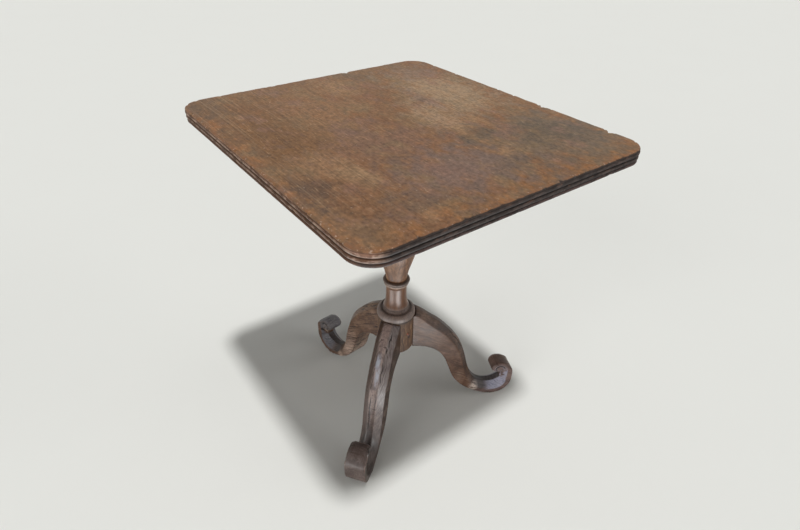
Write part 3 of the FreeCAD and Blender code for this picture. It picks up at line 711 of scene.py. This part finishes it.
# runs are measured back from the tip of the leg, fades in degrees round the roll
scrollFoot = {
    "half": 0.0225, "heelRadius": 0.041, "rollRadius": 0.024, "rollHeight": 0.063, "rollMargin": 0.002,
    "curlBack": 0.029, "curlRadius": 0.019, "curlMargin": 0.001, "windFrom": 98,
    "eyeRadius": 0.006, "eyeRise": 0.0025, "eyeBack": 0.033, "eyeHeight": 0.075,
    "rim": 0.0125, "rimFades": (10, 100), "rimLost": 0.8, "slope": 0.70, "sink": 0.0040, "sinkRun": (0.078, 0.052),
    "slopeHeights": (0.0275, 0.062), "slopeRise": 0.9, "slopeEases": 0.016, "slopeRun": (0.015, 0.026),
    "slopeFrom": 0.032, "slopeDepth": 0.010, "endChamfer": (0.008, 0.005), "chamferFades": (0, 70),
    "drawnUp": 0.34, "topRise": 0.0066, "drawnIn": 0.004, "drawnFades": (30, 120),
}
legWork = {
    "weld": 1e-6, "voxel": 0.0013, "rounds": 5, "pulls": (0.55, -0.50), "bendRounds": 2,
    "unevenness": 0.00050, "markClose": (26, 34, 26), "stillBelow": 0.004,
    # the crest beside the collar, and the bow of the shank
    "riseRun": (0.084, 0.040), "riseHeights": (0.200, 0.270), "drumRadius": 0.0388, "collarRadius": 0.0413,
    "underCollar": 0.2790, "bowRun": (0.09, 0.17), "bowBack": (0.215, 0.245), "bowLost": 0.7,
    # the carved spiral, its turns in degrees
    "spiralDepth": 0.0012, "spiralWidth": 0.0012, "spiralFrom": 80, "spiralStart": (60, 100), "spiralEnd": 325,
    "spiralTurn": 330, "spiralPower": 0.85, "spiralIn": 0.0075, "spiralFace": 0.6, "ringRadius": 0.0150,
    "flatRing": 0.8,
    # cracks, painted highlights, holes and scuffs
    "crackDepth": 0.0011, "crackWidth": 0.0011, "crackSway": (0.0008, 420), "crackEnds": (0.003, 0.004),
    "crackFace": (-0.2, 0.85), "highlightEnds": (0.006, 0.008), "highlightEdge": (1.6, 0.4), "highlightFace": 0.5,
    "holeDepth": 0.0016, "highlightTall": 1.6,
    "scuffSize": 0.0125, "scuffReach": 1.2, "wornGain": 4.5, "dirtAndShadeGain": 5, "lineDirtAndShade": 0.8, "holeDirtAndShade": 1.5,
    # where the foot and its scroll begin, back from the tip
    "footRun": (0.118, 0.082), "scrollRun": (0.078, 0.048),
    # how far a face looks sideways, into the curl, or towards the column
    "sideways": (0.55, 0.90), "deepSideways": (0.7, 0.9), "deepSink": (0.0015, 0.003), "sloped": (0.30, 0.50),
    "bevelInto": (0.15, 0.40), "curlInto": (0.1, 0.5), "towardColumn": (0.25, 0.60),
    "eyeRing": (0.0215, 0.0185), "shadedRun": (0.0085, 0.0150), "brightRun": (0.004, 0.010),
}


def ease(values, low, high):
    t = np.clip((values - low) / (high - low), 0, 1)
    return t * t * (3 - 2 * t)


def easeBack(out, reach, run):
    return ease(out, reach - run[0], reach - run[1])


def between(values, start, end, ends):
    before, after = ends
    return ease(values, start - before, start + after) * ease(values, end + before, end - after)


def spotAt(out, height, spot, tall=1.0):
    spotOut, spotHigh, size = spot
    return np.exp(-((out - spotOut) ** 2 + ((height - spotHigh) / tall) ** 2) / size ** 2)


def edgesOf(mesh):
    pairs = np.zeros(len(mesh.edges) * 2, np.int32)
    mesh.edges.foreach_get("vertices", pairs)
    return pairs.reshape(-1, 2)


def pointsOf(mesh, what="co"):
    flat = np.zeros(len(mesh.vertices) * 3, np.float32)
    mesh.vertices.foreach_get(what, flat)
    return flat.reshape(-1, 3).astype(float)


def movePoints(mesh, places):
    mesh.vertices.foreach_set("co", places.astype(np.float32).ravel())
    mesh.update()


def neighbourMean(values, pairs, counts):
    total = np.zeros_like(values)
    np.add.at(total, pairs[:, 0], values[pairs[:, 1]])
    np.add.at(total, pairs[:, 1], values[pairs[:, 0]])
    return total / (counts[:, None] if values.ndim > 1 else counts)


def evenMesh(mesh, voxel):
    return modified(mesh, "REMESH", mode="VOXEL", voxel_size=voxel)


# distance in from the outline of the foot: its sole, heel, back and roll
def fromOutline(out, height, reach, foot):
    heelAt, rollAt = reach - foot["heelRadius"], reach - foot["rollRadius"]
    heel = foot["heelRadius"] - np.hypot(out - heelAt, height - foot["heelRadius"])
    inside = np.where(out < heelAt, height, heel)
    inside = np.where(height > foot["heelRadius"], reach - out, inside)
    roll = foot["rollRadius"] - np.hypot(out - rollAt, height - foot["rollHeight"])
    return np.where(height > foot["rollHeight"], roll, inside)


# the sides of the scroll are sunk inside a rim that dies away on the roll, the ends of the roll
# are chamfered, and the roll is drawn up
def shapeScroll(places, along, across, reach, foot):
    out, side, height = places @ along, places @ across, places[:, 2]
    rollAt, curlAt, high = reach - foot["rollRadius"], reach - foot["curlBack"], foot["rollHeight"]
    fromRoll, fromCurl = np.hypot(out - rollAt, height - high), np.hypot(out - curlAt, height - high)
    above = height > high
    onRoll = np.where(above | (out > rollAt), fromRoll < foot["rollRadius"] + foot["rollMargin"],
                      fromCurl < foot["curlRadius"] + foot["curlMargin"])
    around = np.degrees(np.arctan2(height - high, out - rollAt))
    wound = ((around + foot["windFrom"]) % 360 - foot["windFrom"]) * onRoll
    rim = foot["rim"] * (1 - foot["rimLost"] * ease(wound, *foot["rimFades"]))
    inside = fromOutline(out, height, reach, foot)
    sunk = np.clip((inside - rim) * foot["slope"], 0, foot["sink"]) * easeBack(out, reach, foot["sinkRun"])
    sunk = np.maximum(sunk - foot["eyeRise"] * (fromCurl < foot["eyeRadius"]), 0)
    # the step beside the throat becomes a slope
    low, top = foot["slopeHeights"]
    sunk += (np.clip((height - low) * foot["slopeRise"], 0, foot["slopeDepth"])
             * ease(height, top, top - foot["slopeEases"]) * easeBack(out, reach, foot["slopeRun"])
             * (wound <= 0) * (out > reach - foot["slopeFrom"]))
    limit = foot["half"] - sunk
    changed = np.where((sunk > 0) & (np.abs(side) > limit), np.sign(side) * limit, side)
    inRoll = np.where(above, foot["rollRadius"] - fromRoll, foot["curlRadius"] - fromCurl)
    (wide, deep), cut = foot["endChamfer"], ease(wound, *foot["chamferFades"]) * onRoll
    over = np.maximum(cut - (foot["half"] - np.abs(changed)) / wide - np.maximum(inRoll, 0) / deep, 0) * (cut > 0)
    changed -= np.sign(changed) * over * wide / 2
    pull = over * deep / 2 / np.maximum(np.where(above, fromRoll, fromCurl), 1e-6)
    curl = ease(wound, *foot["drawnFades"])
    lift = (high + foot["rollRadius"] - height) * foot["drawnUp"] * curl + foot["topRise"] * curl
    moved = places + across * (changed - side)[:, None]
    moved += along * (pull * (np.where(above, rollAt, curlAt) - out) - foot["drawnIn"] * curl)[:, None]
    moved[:, 2] += lift + pull * (high - height)
    return moved


# copy of a leg on an even small mesh, its arrises rounded as by wear
def wornCopy(shape, along, across, work):
    welded = bmesh.new()
    welded.from_mesh(nodes[shape["node"]].data)
    bmesh.ops.remove_doubles(welded, verts=welded.verts, dist=work["weld"])
    even = evenMesh(meshOf(welded, "plank"), work["voxel"])
    shaped = shapeScroll(pointsOf(even), along, across, shape["reach"], scrollFoot)
    # beside the collar the crest runs up, under it there is no room
    out, fromAxis, height = shaped @ along, np.hypot(shaped[:, 0], shaped[:, 1]), shaped[:, 2]
    rise = shape["rise"] * np.interp(height, work["riseHeights"], (0, 1))
    raised = height + rise * ease(out, *work["riseRun"])
    raised = np.where(fromAxis > work["collarRadius"], raised, np.minimum(raised, work["underCollar"]))
    shaped[:, 2] = np.where(fromAxis > work["drumRadius"], raised, height)
    movePoints(even, shaped)
    even = evenMesh(even, work["voxel"])
    places, pairs = pointsOf(even), edgesOf(even)
    counts = np.maximum(np.bincount(pairs.ravel(), minlength=len(places)), 1).astype(float)
    for k in range(work["rounds"]):
        for pull in work["pulls"]:
            places += pull * (neighbourMean(places, pairs, counts) - places)
    # the shank of the front leg bows a little to one side
    out = places @ along
    bow = ease(out, *work["bowRun"]) * (1 - work["bowLost"] * ease(out, *work["bowBack"]))
    places += across * (shape["bow"] * bow)[:, None]
    movePoints(even, places)
    return even, pairs, counts


def carveLeg(shape, work, scrolled):
    turn, reach = math.radians(shape["angle"]), shape["reach"]
    along = np.array([math.cos(turn), math.sin(turn), 0])
    across = np.array([-math.sin(turn), math.cos(turn), 0])
    mesh, pairs, counts = wornCopy(shape, along, across, work)
    places, normals = pointsOf(mesh), pointsOf(mesh, "normal")
    out, side, height = places @ along, places @ across, places[:, 2]
    sideFace = np.abs(normals @ across)
    bend = -((neighbourMean(places, pairs, counts) - places) * normals).sum(1) / work["voxel"]
    for k in range(work["bendRounds"]):
        bend = 0.5 * bend + 0.5 * neighbourMean(bend, pairs, counts)
    foot, scroll = easeBack(out, reach, work["footRun"]), easeBack(out, reach, work["scrollRun"])
    # which way a face of the foot looks: into the curl or out from it
    eyeOut, eyeHigh = reach - scrolled["eyeBack"], scrolled["eyeHeight"]
    fromEye = np.maximum(np.hypot(out - eyeOut, height - eyeHigh), 1e-6)
    inward = (normals @ along) * (eyeOut - out) / fromEye + normals[:, 2] * (eyeHigh - height) / fromEye
    sloped, onSide = ease(sideFace, *work["sloped"]), ease(sideFace, *work["sideways"])
    bevel = foot * sloped * ease(inward, *work["bevelInto"])
    deepSide = (foot * ease(sideFace, *work["deepSideways"])
                * ease(scrolled["half"] - np.abs(side), *work["deepSink"]))
    channel = np.maximum(bevel, deepSide)
    # the carved line winds in towards the eye
    ringAt = np.hypot(out - eyeOut, (height - eyeHigh) / work["flatRing"])
    wound = (np.degrees(np.arctan2(height - eyeHigh, out - eyeOut)) + work["spiralFrom"]) % 360
    inTurn = np.clip(wound / work["spiralTurn"], 0, 1) ** work["spiralPower"]
    spiral = work["ringRadius"] - work["spiralIn"] * inTurn
    line = (np.exp(-((ringAt - spiral) / work["spiralWidth"]) ** 2) * ease(wound, *work["spiralStart"])
            * (wound < work["spiralEnd"]) * (sideFace > work["spiralFace"]))
    crack, rub, hole = np.zeros((3, len(places)))
    (swayBy, swayClose), (leastUp, mostSide) = work["crackSway"], work["crackFace"]
    upper = (normals[:, 2] > leastUp) & (sideFace < mostSide)
    for start, end, sideways in shape["cracks"]:
        sway = side - sideways - swayBy * np.sin(out * swayClose)
        crack = np.maximum(crack, upper * np.exp(-(sway / work["crackWidth"]) ** 2)
                           * between(out, start, end, work["crackEnds"]))
    # pale bluish spots on the front leg are a painted highlight
    for start, end, sideways, half in shape["paintedHighlights"]:
        beside = ease(np.abs(side - sideways), *[half * share for share in work["highlightEdge"]])
        rub = np.maximum(rub, beside * (sideFace < work["highlightFace"]) * between(out, start, end, work["highlightEnds"]))
    for spot in shape["holes"]:
        hole += (side > 0) * spotAt(out, height, spot)
    scuffAt = np.hypot(out - shape["scuffAndHighlight"][0], height - shape["scuffAndHighlight"][1]) / work["scuffSize"]
    scuffAndHighlight = np.clip(work["scuffReach"] - scuffAt, 0, 1)
    # beside the rear foot's hole a painted highlight goes in with the scuffs
    for spot in shape["holeHighlights"]:
        scuffAndHighlight += (side > 0) * spotAt(out, height, spot, work["highlightTall"])
    # knife and scraper marks
    a, b, c = work["markClose"]
    marks = np.array([noise.noise(Vector((o * a, s * b, h * c + shape["seed"])))
                      for o, s, h in zip(out, side, height)])
    push = work["unevenness"] * marks * (height > work["stillBelow"])
    push -= work["spiralDepth"] * line + work["crackDepth"] * crack + work["holeDepth"] * hole
    places += normals * push[:, None]
    places[:, 2] = np.maximum(places[:, 2], 0.0)
    movePoints(mesh, places)
    lean = math.radians(shape["grain"])
    grainAt = np.stack([out * math.cos(lean) + height * math.sin(lean), side,
                        height * math.cos(lean) - out * math.sin(lean) + shape["seed"]], 1)
    made = mesh.attributes.new("grainAt", "FLOAT_VECTOR", "POINT")
    made.data.foreach_set("vector", grainAt.astype(np.float32).ravel())
    # the inner face has the colour of the sides
    sideColor = np.maximum(onSide, ease(-(normals @ along), *work["towardColumn"]) * (1 - foot))
    # on the front leg the left facets take the dark side colour as painted shade
    facets = shape["shaded"] * (1 - foot) * (1 - onSide)
    # faces looking into the curl take the dark inside colour as painted shade
    insideCurl = np.maximum((1 - sloped) * ease(inward, *work["curlInto"]), channel * (1 - scroll))
    # hollows, the carved line, cracks and holes darken with dirt and painted shade
    hollow = -bend * work["dirtAndShadeGain"] + line * work["lineDirtAndShade"] + crack + work["holeDirtAndShade"] * hole
    for name, values in {
            "arrisWorn": np.clip(bend * work["wornGain"], 0, 1), "hollowDirtAndShade": np.clip(hollow, 0, 1),
            "sideFace": sideColor, "foot": foot, "channel": channel * scroll,
            "rimBand": foot * onSide * (1 - channel), "insideCurl": foot * insideCurl,
            "outsideCurl": foot * (1 - onSide) * ease(-inward, *work["curlInto"]),
            "scuffAndHighlight": np.clip(scuffAndHighlight, 0, 1), "rub": rub,
            "paleSide": shape["paleShare"] * spotAt(out, height, shape["paleSide"]) * sideColor,
            "eyeRing": foot * sloped * ease(ringAt, *work["eyeRing"]),
            "shadedSide": facets * ease(-side, *work["shadedRun"]),
            "brightSide": facets * ease(side, *work["brightRun"])}.items():
        kept = mesh.attributes.new(name, "FLOAT", "POINT")
        kept.data.foreach_set("value", values.astype(np.float32))
    mesh.shade_smooth()
    return mesh


legLooks = {
    "frontLeg": {
        "side": (52, 30, 12), "facet": (112, 104, 103), "upper": (146, 126, 119), "light": (142, 125, 118),
        "pale": (142, 125, 118), "dark": (54, 41, 36), "channel": (58, 51, 47), "rim": (64, 51, 43),
        "inside": (58, 49, 46), "outside": (84, 72, 68), "arris": (56, 41, 35), "footArris": (128, 82, 56),
        "scuffAndHighlight": (120, 100, 86), "dirtAndShade": (28, 22, 21), "rub": (182, 186, 198), "ring": (86, 74, 70),
        "lines": 0.60, "ridges": 0.70, "ridgeFrom": 0.57, "ridgeFull": 0.65, "blotch": 0.34, "footCalm": 0.2,
        "rough": (0.28, 0.48), "shine": 0.16},
    "rightLeg": {
        "side": (104, 74, 57), "facet": (68, 51, 44), "upper": (68, 51, 44), "light": (130, 105, 89),
        # the channel colour is bluish grey lightened by a painted highlight
        "pale": (140, 119, 106), "dark": (62, 43, 34), "channel": (168, 169, 187), "rim": (120, 101, 98),
        "inside": (77, 73, 74), "outside": (102, 80, 71), "arris": (64, 47, 40), "footArris": (98, 76, 71),
        "scuffAndHighlight": (216, 199, 186), "dirtAndShade": (34, 27, 26), "rub": (150, 140, 134), "ring": (138, 119, 114),
        "lines": 0.60, "ridges": 0.60, "ridgeFrom": 0.56, "ridgeFull": 0.64, "blotch": 0.34, "footCalm": 0.6,
        "rough": (0.36, 0.56), "shine": 0.22},
    "rearLeg": {
        "side": (106, 77, 58), "facet": (94, 66, 45), "upper": (94, 66, 45), "light": (136, 109, 89),
        "pale": (188, 162, 146), "dark": (50, 34, 26), "channel": (110, 111, 118), "rim": (98, 75, 63),
        "inside": (64, 62, 64), "outside": (116, 119, 125), "arris": (76, 53, 40), "footArris": (86, 67, 58),
        "scuffAndHighlight": (190, 166, 148), "dirtAndShade": (30, 24, 23), "rub": (150, 130, 116), "ring": (112, 107, 106),
        "lines": 0.40, "ridges": 0.95, "ridgeFrom": 0.52, "ridgeFull": 0.60, "blotch": 0.15, "footCalm": 0.6,
        "rough": (0.40, 0.60), "shine": 0.24},
}
# what the three legs share
legGrain = {
    "bump": (0.45, 0.0012), "wave": (30, 20, 30), "waveBy": 0.010, "mottle": ((34, 40, 34), 4.0),
    "alongGrain": {"lines": ((10, 22, 260),), "ridges": ((16, 60, 420),), "pores": ((60, 420, 520),)},
    "weights": {"lines": 1.3, "ridges": 1.2, "pores": 1.3, "mottle": 0.9}, "mottleTall": 1.5,
    "firstCoats": [
        ("light", 0.55, ("mottle", 0.44, 0.66)), ("dark", "blotch", ("mottle", 0.50, 0.36)),
        ("pale", 0.90, ("paleSide",)), ("side", 0.95, ("shadedSide",)), ("facet", 0.80, ("brightSide",)),
        ("channel", 0.85, ("channel",)), ("rim", 0.75, ("rimBand",)), ("inside", 0.85, ("insideCurl",)),
        ("outside", 0.75, ("outsideCurl",)), ("ring", 0.75, ("eyeRing",))],
    "lastCoats": [
        ("dark", "lines", ("lines", 0.53, 0.63), ("calm",)),
        ("dark", "ridges", ("ridges", "ridgeFrom", "ridgeFull"), ("calm",)),
        ("light", 0.35, ("pores", 0.62, 0.72)),
        ("wornArris", 0.85, ("arrisWorn", 0.15, 0.65), ("mottle", 0.30, 0.52)),
        # the front leg's pale spots are a painted highlight
        ("scuffAndHighlight", 1.0, ("scuffAndHighlight",), ("pores", 0.36, 0.5)), ("rub", 0.80, ("rub",), ("pores", 0.30, 0.5)),
        # dirt and painted shade in the hollows
        ("dirtAndShade", 0.90, ("hollowDirtAndShade", 0.15, 0.7))],
}


def legWood(name, look):
    material, shader = newMaterial(name + "Wood")
    place = stored("grainAt", "Vector")
    wave = addNode("VectorMath", operation="ADD")
    plug(place, wave.inputs[0])
    plug(joined(0, 0, times(speckle(place, look["wave"]), look["waveBy"])), wave.inputs[1])
    seen = patterns(wave.outputs[0], look["alongGrain"])
    seen["mottle"] = speckle(place, *look["mottle"])
    for label in ("arrisWorn", "hollowDirtAndShade", "sideFace", "foot", "channel", "rimBand", "insideCurl", "outsideCurl",
                  "scuffAndHighlight", "rub", "paleSide", "eyeRing", "shadedSide", "brightSide"):
        seen[label] = stored(label)
    seen["calm"] = calc("SUBTRACT", 1.0, times(seen["foot"], look["footCalm"]))
    color = coats(paint(look["upper"], look["side"], seen["sideFace"]), look, seen, look["firstCoats"])
    color = shadeBy(color, *[(seen[label], weight) for label, weight in look["weights"].items()])
    wornArris = paint(look["arris"], look["footArris"], seen["foot"])
    color = coats(color, {**look, "wornArris": wornArris}, seen, look["lastCoats"])
    cuts = plus(times(seen["lines"], look["lines"]), times(seen["ridges"], look["ridges"]))
    tall = calc("SUBTRACT", times(seen["mottle"], look["mottleTall"]), cuts)
    finishShader(shader, look, color, dullness(seen["mottle"], look["rough"]), tall)
    return material


for name, shape in legShapes.items():
    wood = legWood(name, {**legGrain, **legLooks[name]})
    addPiece(name, carveLeg(shape, legWork, scrollFoot), wood, "base", "leg_wood", shape["node"])
print("legs carved")


# pieces under the top keep their made shape, and the listed ones get softened arrises
underLooks = {
    "under_wood": {"main": (106, 80, 57), "dark": (70, 51, 38), "pale": (132, 104, 76), "stretch": (5, 130, 130),
                   "rough": (0.62, 0.80), "bump": (0.3, 0.0007), "shine": 0.25},
    "inner_wood": {"main": (150, 118, 82), "dark": (112, 84, 56), "pale": (172, 140, 102), "stretch": (8, 180, 180),
                   "rough": (0.62, 0.80), "bump": (0.3, 0.0007), "shine": 0.25},
}


def plainWood(name, look):
    material, shader = newMaterial(name + "Grain")
    finer = tuple(4 * close for close in look["stretch"])
    seen = patterns(ownPlace(), {"grain": (look["stretch"], 5.0), "pores": (finer, 3.0),
                                 "mottle": ((18, 18, 18), 4.0), "saw": ((420, 12, 12), 2.0, 0.5)})
    color = ramp(seen["grain"], (0.34, look["dark"]), (0.50, look["main"]), (0.68, look["pale"]))
    color = coats(color, look, seen, [("dark", 0.6, ("mottle", 0.48, 0.70)), ("dark", 0.5, ("pores", 0.40, 0.28))])
    tall = plus(seen["grain"], times(seen["pores"], 0.5), times(seen["saw"], 0.5))
    finishShader(shader, look, color, dullness(seen["mottle"], look["rough"]), tall)
    return material


metalLooks = {
    "iron": {"main": (66, 50, 43), "spot": (138, 76, 50), "metal": 0.4, "rough": (0.48, 0.75),
             "bump": (0.2, 0.0003), "shine": 0.5},
    "brass": {"main": (172, 138, 78), "spot": (92, 74, 46), "metal": 0.9, "rough": (0.30, 0.55),
              "bump": (0.2, 0.0003), "shine": 0.5},
}


def oldMetal(name, look):
    material, shader = newMaterial("old" + name.capitalize())
    seen = patterns(ownPlace(), {"tarnish": ((160, 160, 160), 5.0), "brushed": ((60, 1800, 1800), 2.0, 0.5)})
    color = paint(look["main"], look["spot"], fade(seen["tarnish"], 0.42, 0.66))
    shader.inputs["Metallic"].default_value = look["metal"]
    tall = plus(seen["tarnish"], times(seen["brushed"], 0.4))
    finishShader(shader, look, color, dullness(seen["tarnish"], look["rough"]), tall)
    return material


slotMaterials = {name: plainWood(name, look) for name, look in underLooks.items()}
slotMaterials.update({name: oldMetal(name, look) for name, look in metalLooks.items()})
underWork = {"weld": 1e-5, "arrisSegments": 2, "arrisAngle": 40}
softenedArrises = {"bearer_near": 0.0012, "bearer_far": 0.0012, "tilt_block": 0.0012,
                   "catch_keep": 0.0003, "catch_plate": 0.0003}
for row in frame["record"]["subparts"]:
    if row["material_slot"] not in slotMaterials:
        continue
    piece = nodes[row["node"]]
    piece.data.materials.clear()
    piece.data.materials.append(slotMaterials[row["material_slot"]])
    weld = piece.modifiers.new("weld", "WELD")
    weld.merge_threshold = underWork["weld"]
    if row["node"] in softenedArrises:
        bevel = piece.modifiers.new("arris", "BEVEL")
        bevel.width = softenedArrises[row["node"]]
        bevel.segments = underWork["arrisSegments"]
        bevel.limit_method = "ANGLE"
        bevel.angle_limit = math.radians(underWork["arrisAngle"])
print("pieces under the top finished")


# pale floor, soft light and the photograph's view
stageLook = {"floor": (0.775, 0.780, 0.745, 1), "floorShade": (0.70, 0.70, 0.67, 1), "floorHalf": 30,
             "backdrop": (0.752, 0.761, 0.723, 1), "worldLight": 0.18, "worldTint": (1.0, 0.99, 0.97, 1)}
# heading and height of the lamp in degrees, strength, spread
suns = {"overheadLight": (-100, 78, 2.03, 5), "leftLight": (-165, 18, 1.05, 40), "rightLight": (-45, 16, 0.80, 40)}
# glows seen only in polished wood, lying low in front of the table and to its left
glints = {"frontGlint": {"place": (-0.13, -0.56, 0.004), "size": (0.36, 0.50), "turn": 12, "power": 11.4},
          "leftGlint": {"place": (-0.48, -0.07, 0.004), "size": (0.32, 0.40), "turn": 0, "power": 4.6}}
photoView = {"azimuth": -37.24, "elevation": 35.39, "roll": 1.2, "place": (-0.5375, -0.7178, 1.0384),
             "focal": 548.2, "imageWidth": 800, "sensor": 36, "clip": (0.01, 100)}


def makeFloor(look):
    mesh = bpy.data.meshes.new("floor")
    half = look["floorHalf"]
    mesh.from_pydata([(-half, -half, 0), (half, -half, 0), (half, half, 0), (-half, half, 0)], [], [(0, 1, 2, 3)])
    floor = bpy.data.objects.new("floor", mesh)
    scene.collection.objects.link(floor)
    material, shader = newMaterial("paleFloor")
    shade = speckle(ownPlace(), (3, 3, 3), 2.0)
    color = paint(look["floor"], look["floorShade"], fade(shade, 0.3, 0.7, 0.0, 0.04))
    plug(color, shader.inputs["Base Color"])
    shader.inputs["Roughness"].default_value = 1.0
    shader.inputs["Specular IOR Level"].default_value = 0.0
    mesh.materials.append(material)


def makeWorld(look):
    global tree
    world = bpy.data.worlds.new("studio")
    scene.world = world
    world.use_nodes = True
    tree = world.node_tree
    tree.nodes.clear()
    light, seen = addNode("Background"), addNode("Background")
    light.inputs["Color"].default_value = look["worldTint"]
    light.inputs["Strength"].default_value = look["worldLight"]
    seen.inputs["Color"].default_value = look["backdrop"]
    path = addNode("LightPath").outputs
    direct = calc("MAXIMUM", *[path[ray] for ray in ("Is Camera Ray", "Is Glossy Ray", "Is Transmission Ray")])
    mix = addNode("MixShader")
    for socket, value in zip(mix.inputs, (direct, light.outputs[0], seen.outputs[0])):
        plug(value, socket)
    plug(mix.outputs[0], addNode("OutputWorld").inputs[0])


def makeSun(name, heading, height, strength, spread):
    data = bpy.data.lights.new(name, "SUN")
    data.energy = strength
    data.angle = math.radians(spread)
    lamp = bpy.data.objects.new(name, data)
    turn, lift = math.radians(heading), math.radians(height)
    toward = Vector((math.cos(turn) * math.cos(lift), math.sin(turn) * math.cos(lift), math.sin(lift)))
    lamp.rotation_mode = "QUATERNION"
    lamp.rotation_quaternion = toward.to_track_quat("Z", "Y")
    scene.collection.objects.link(lamp)


def makeGlint(name, look):
    data = bpy.data.lights.new(name, "AREA")
    data.shape = "RECTANGLE"
    data.size, data.size_y = look["size"]
    data.energy = look["power"]
    lamp = bpy.data.objects.new(name, data)
    lamp.location = look["place"]
    lamp.rotation_euler = (math.pi, 0, math.radians(look["turn"]))
    lamp.visible_diffuse = False
    lamp.visible_camera = False
    scene.collection.objects.link(lamp)


def setCamera(look):
    turn, lift, roll = (math.radians(look[k]) for k in ("azimuth", "elevation", "roll"))
    back = Vector((math.sin(turn) * math.cos(lift), -math.cos(turn) * math.cos(lift), math.sin(lift)))
    right = Vector((math.cos(turn), math.sin(turn), 0))
    up = back.cross(right)
    across = right * math.cos(roll) + up * math.sin(roll)
    upright = up * math.cos(roll) - right * math.sin(roll)
    data = bpy.data.cameras.new("photoCamera")
    data.sensor_width = look["sensor"]
    data.lens = look["sensor"] * look["focal"] / look["imageWidth"]
    data.clip_start, data.clip_end = look["clip"]
    camera = bpy.data.objects.new("photoCamera", data)
    camera.matrix_world = Matrix.Translation(look["place"]) @ Matrix((across, upright, back)).transposed().to_4x4()
    scene.collection.objects.link(camera)
    scene.camera = camera


makeFloor(stageLook)
makeWorld(stageLook)
for name, settings in suns.items():
    makeSun(name, *settings)
for name, look in glints.items():
    makeGlint(name, look)
setCamera(photoView)
scene.view_settings.view_transform = "Standard"
print("stage set")

bpy.context.view_layer.update()
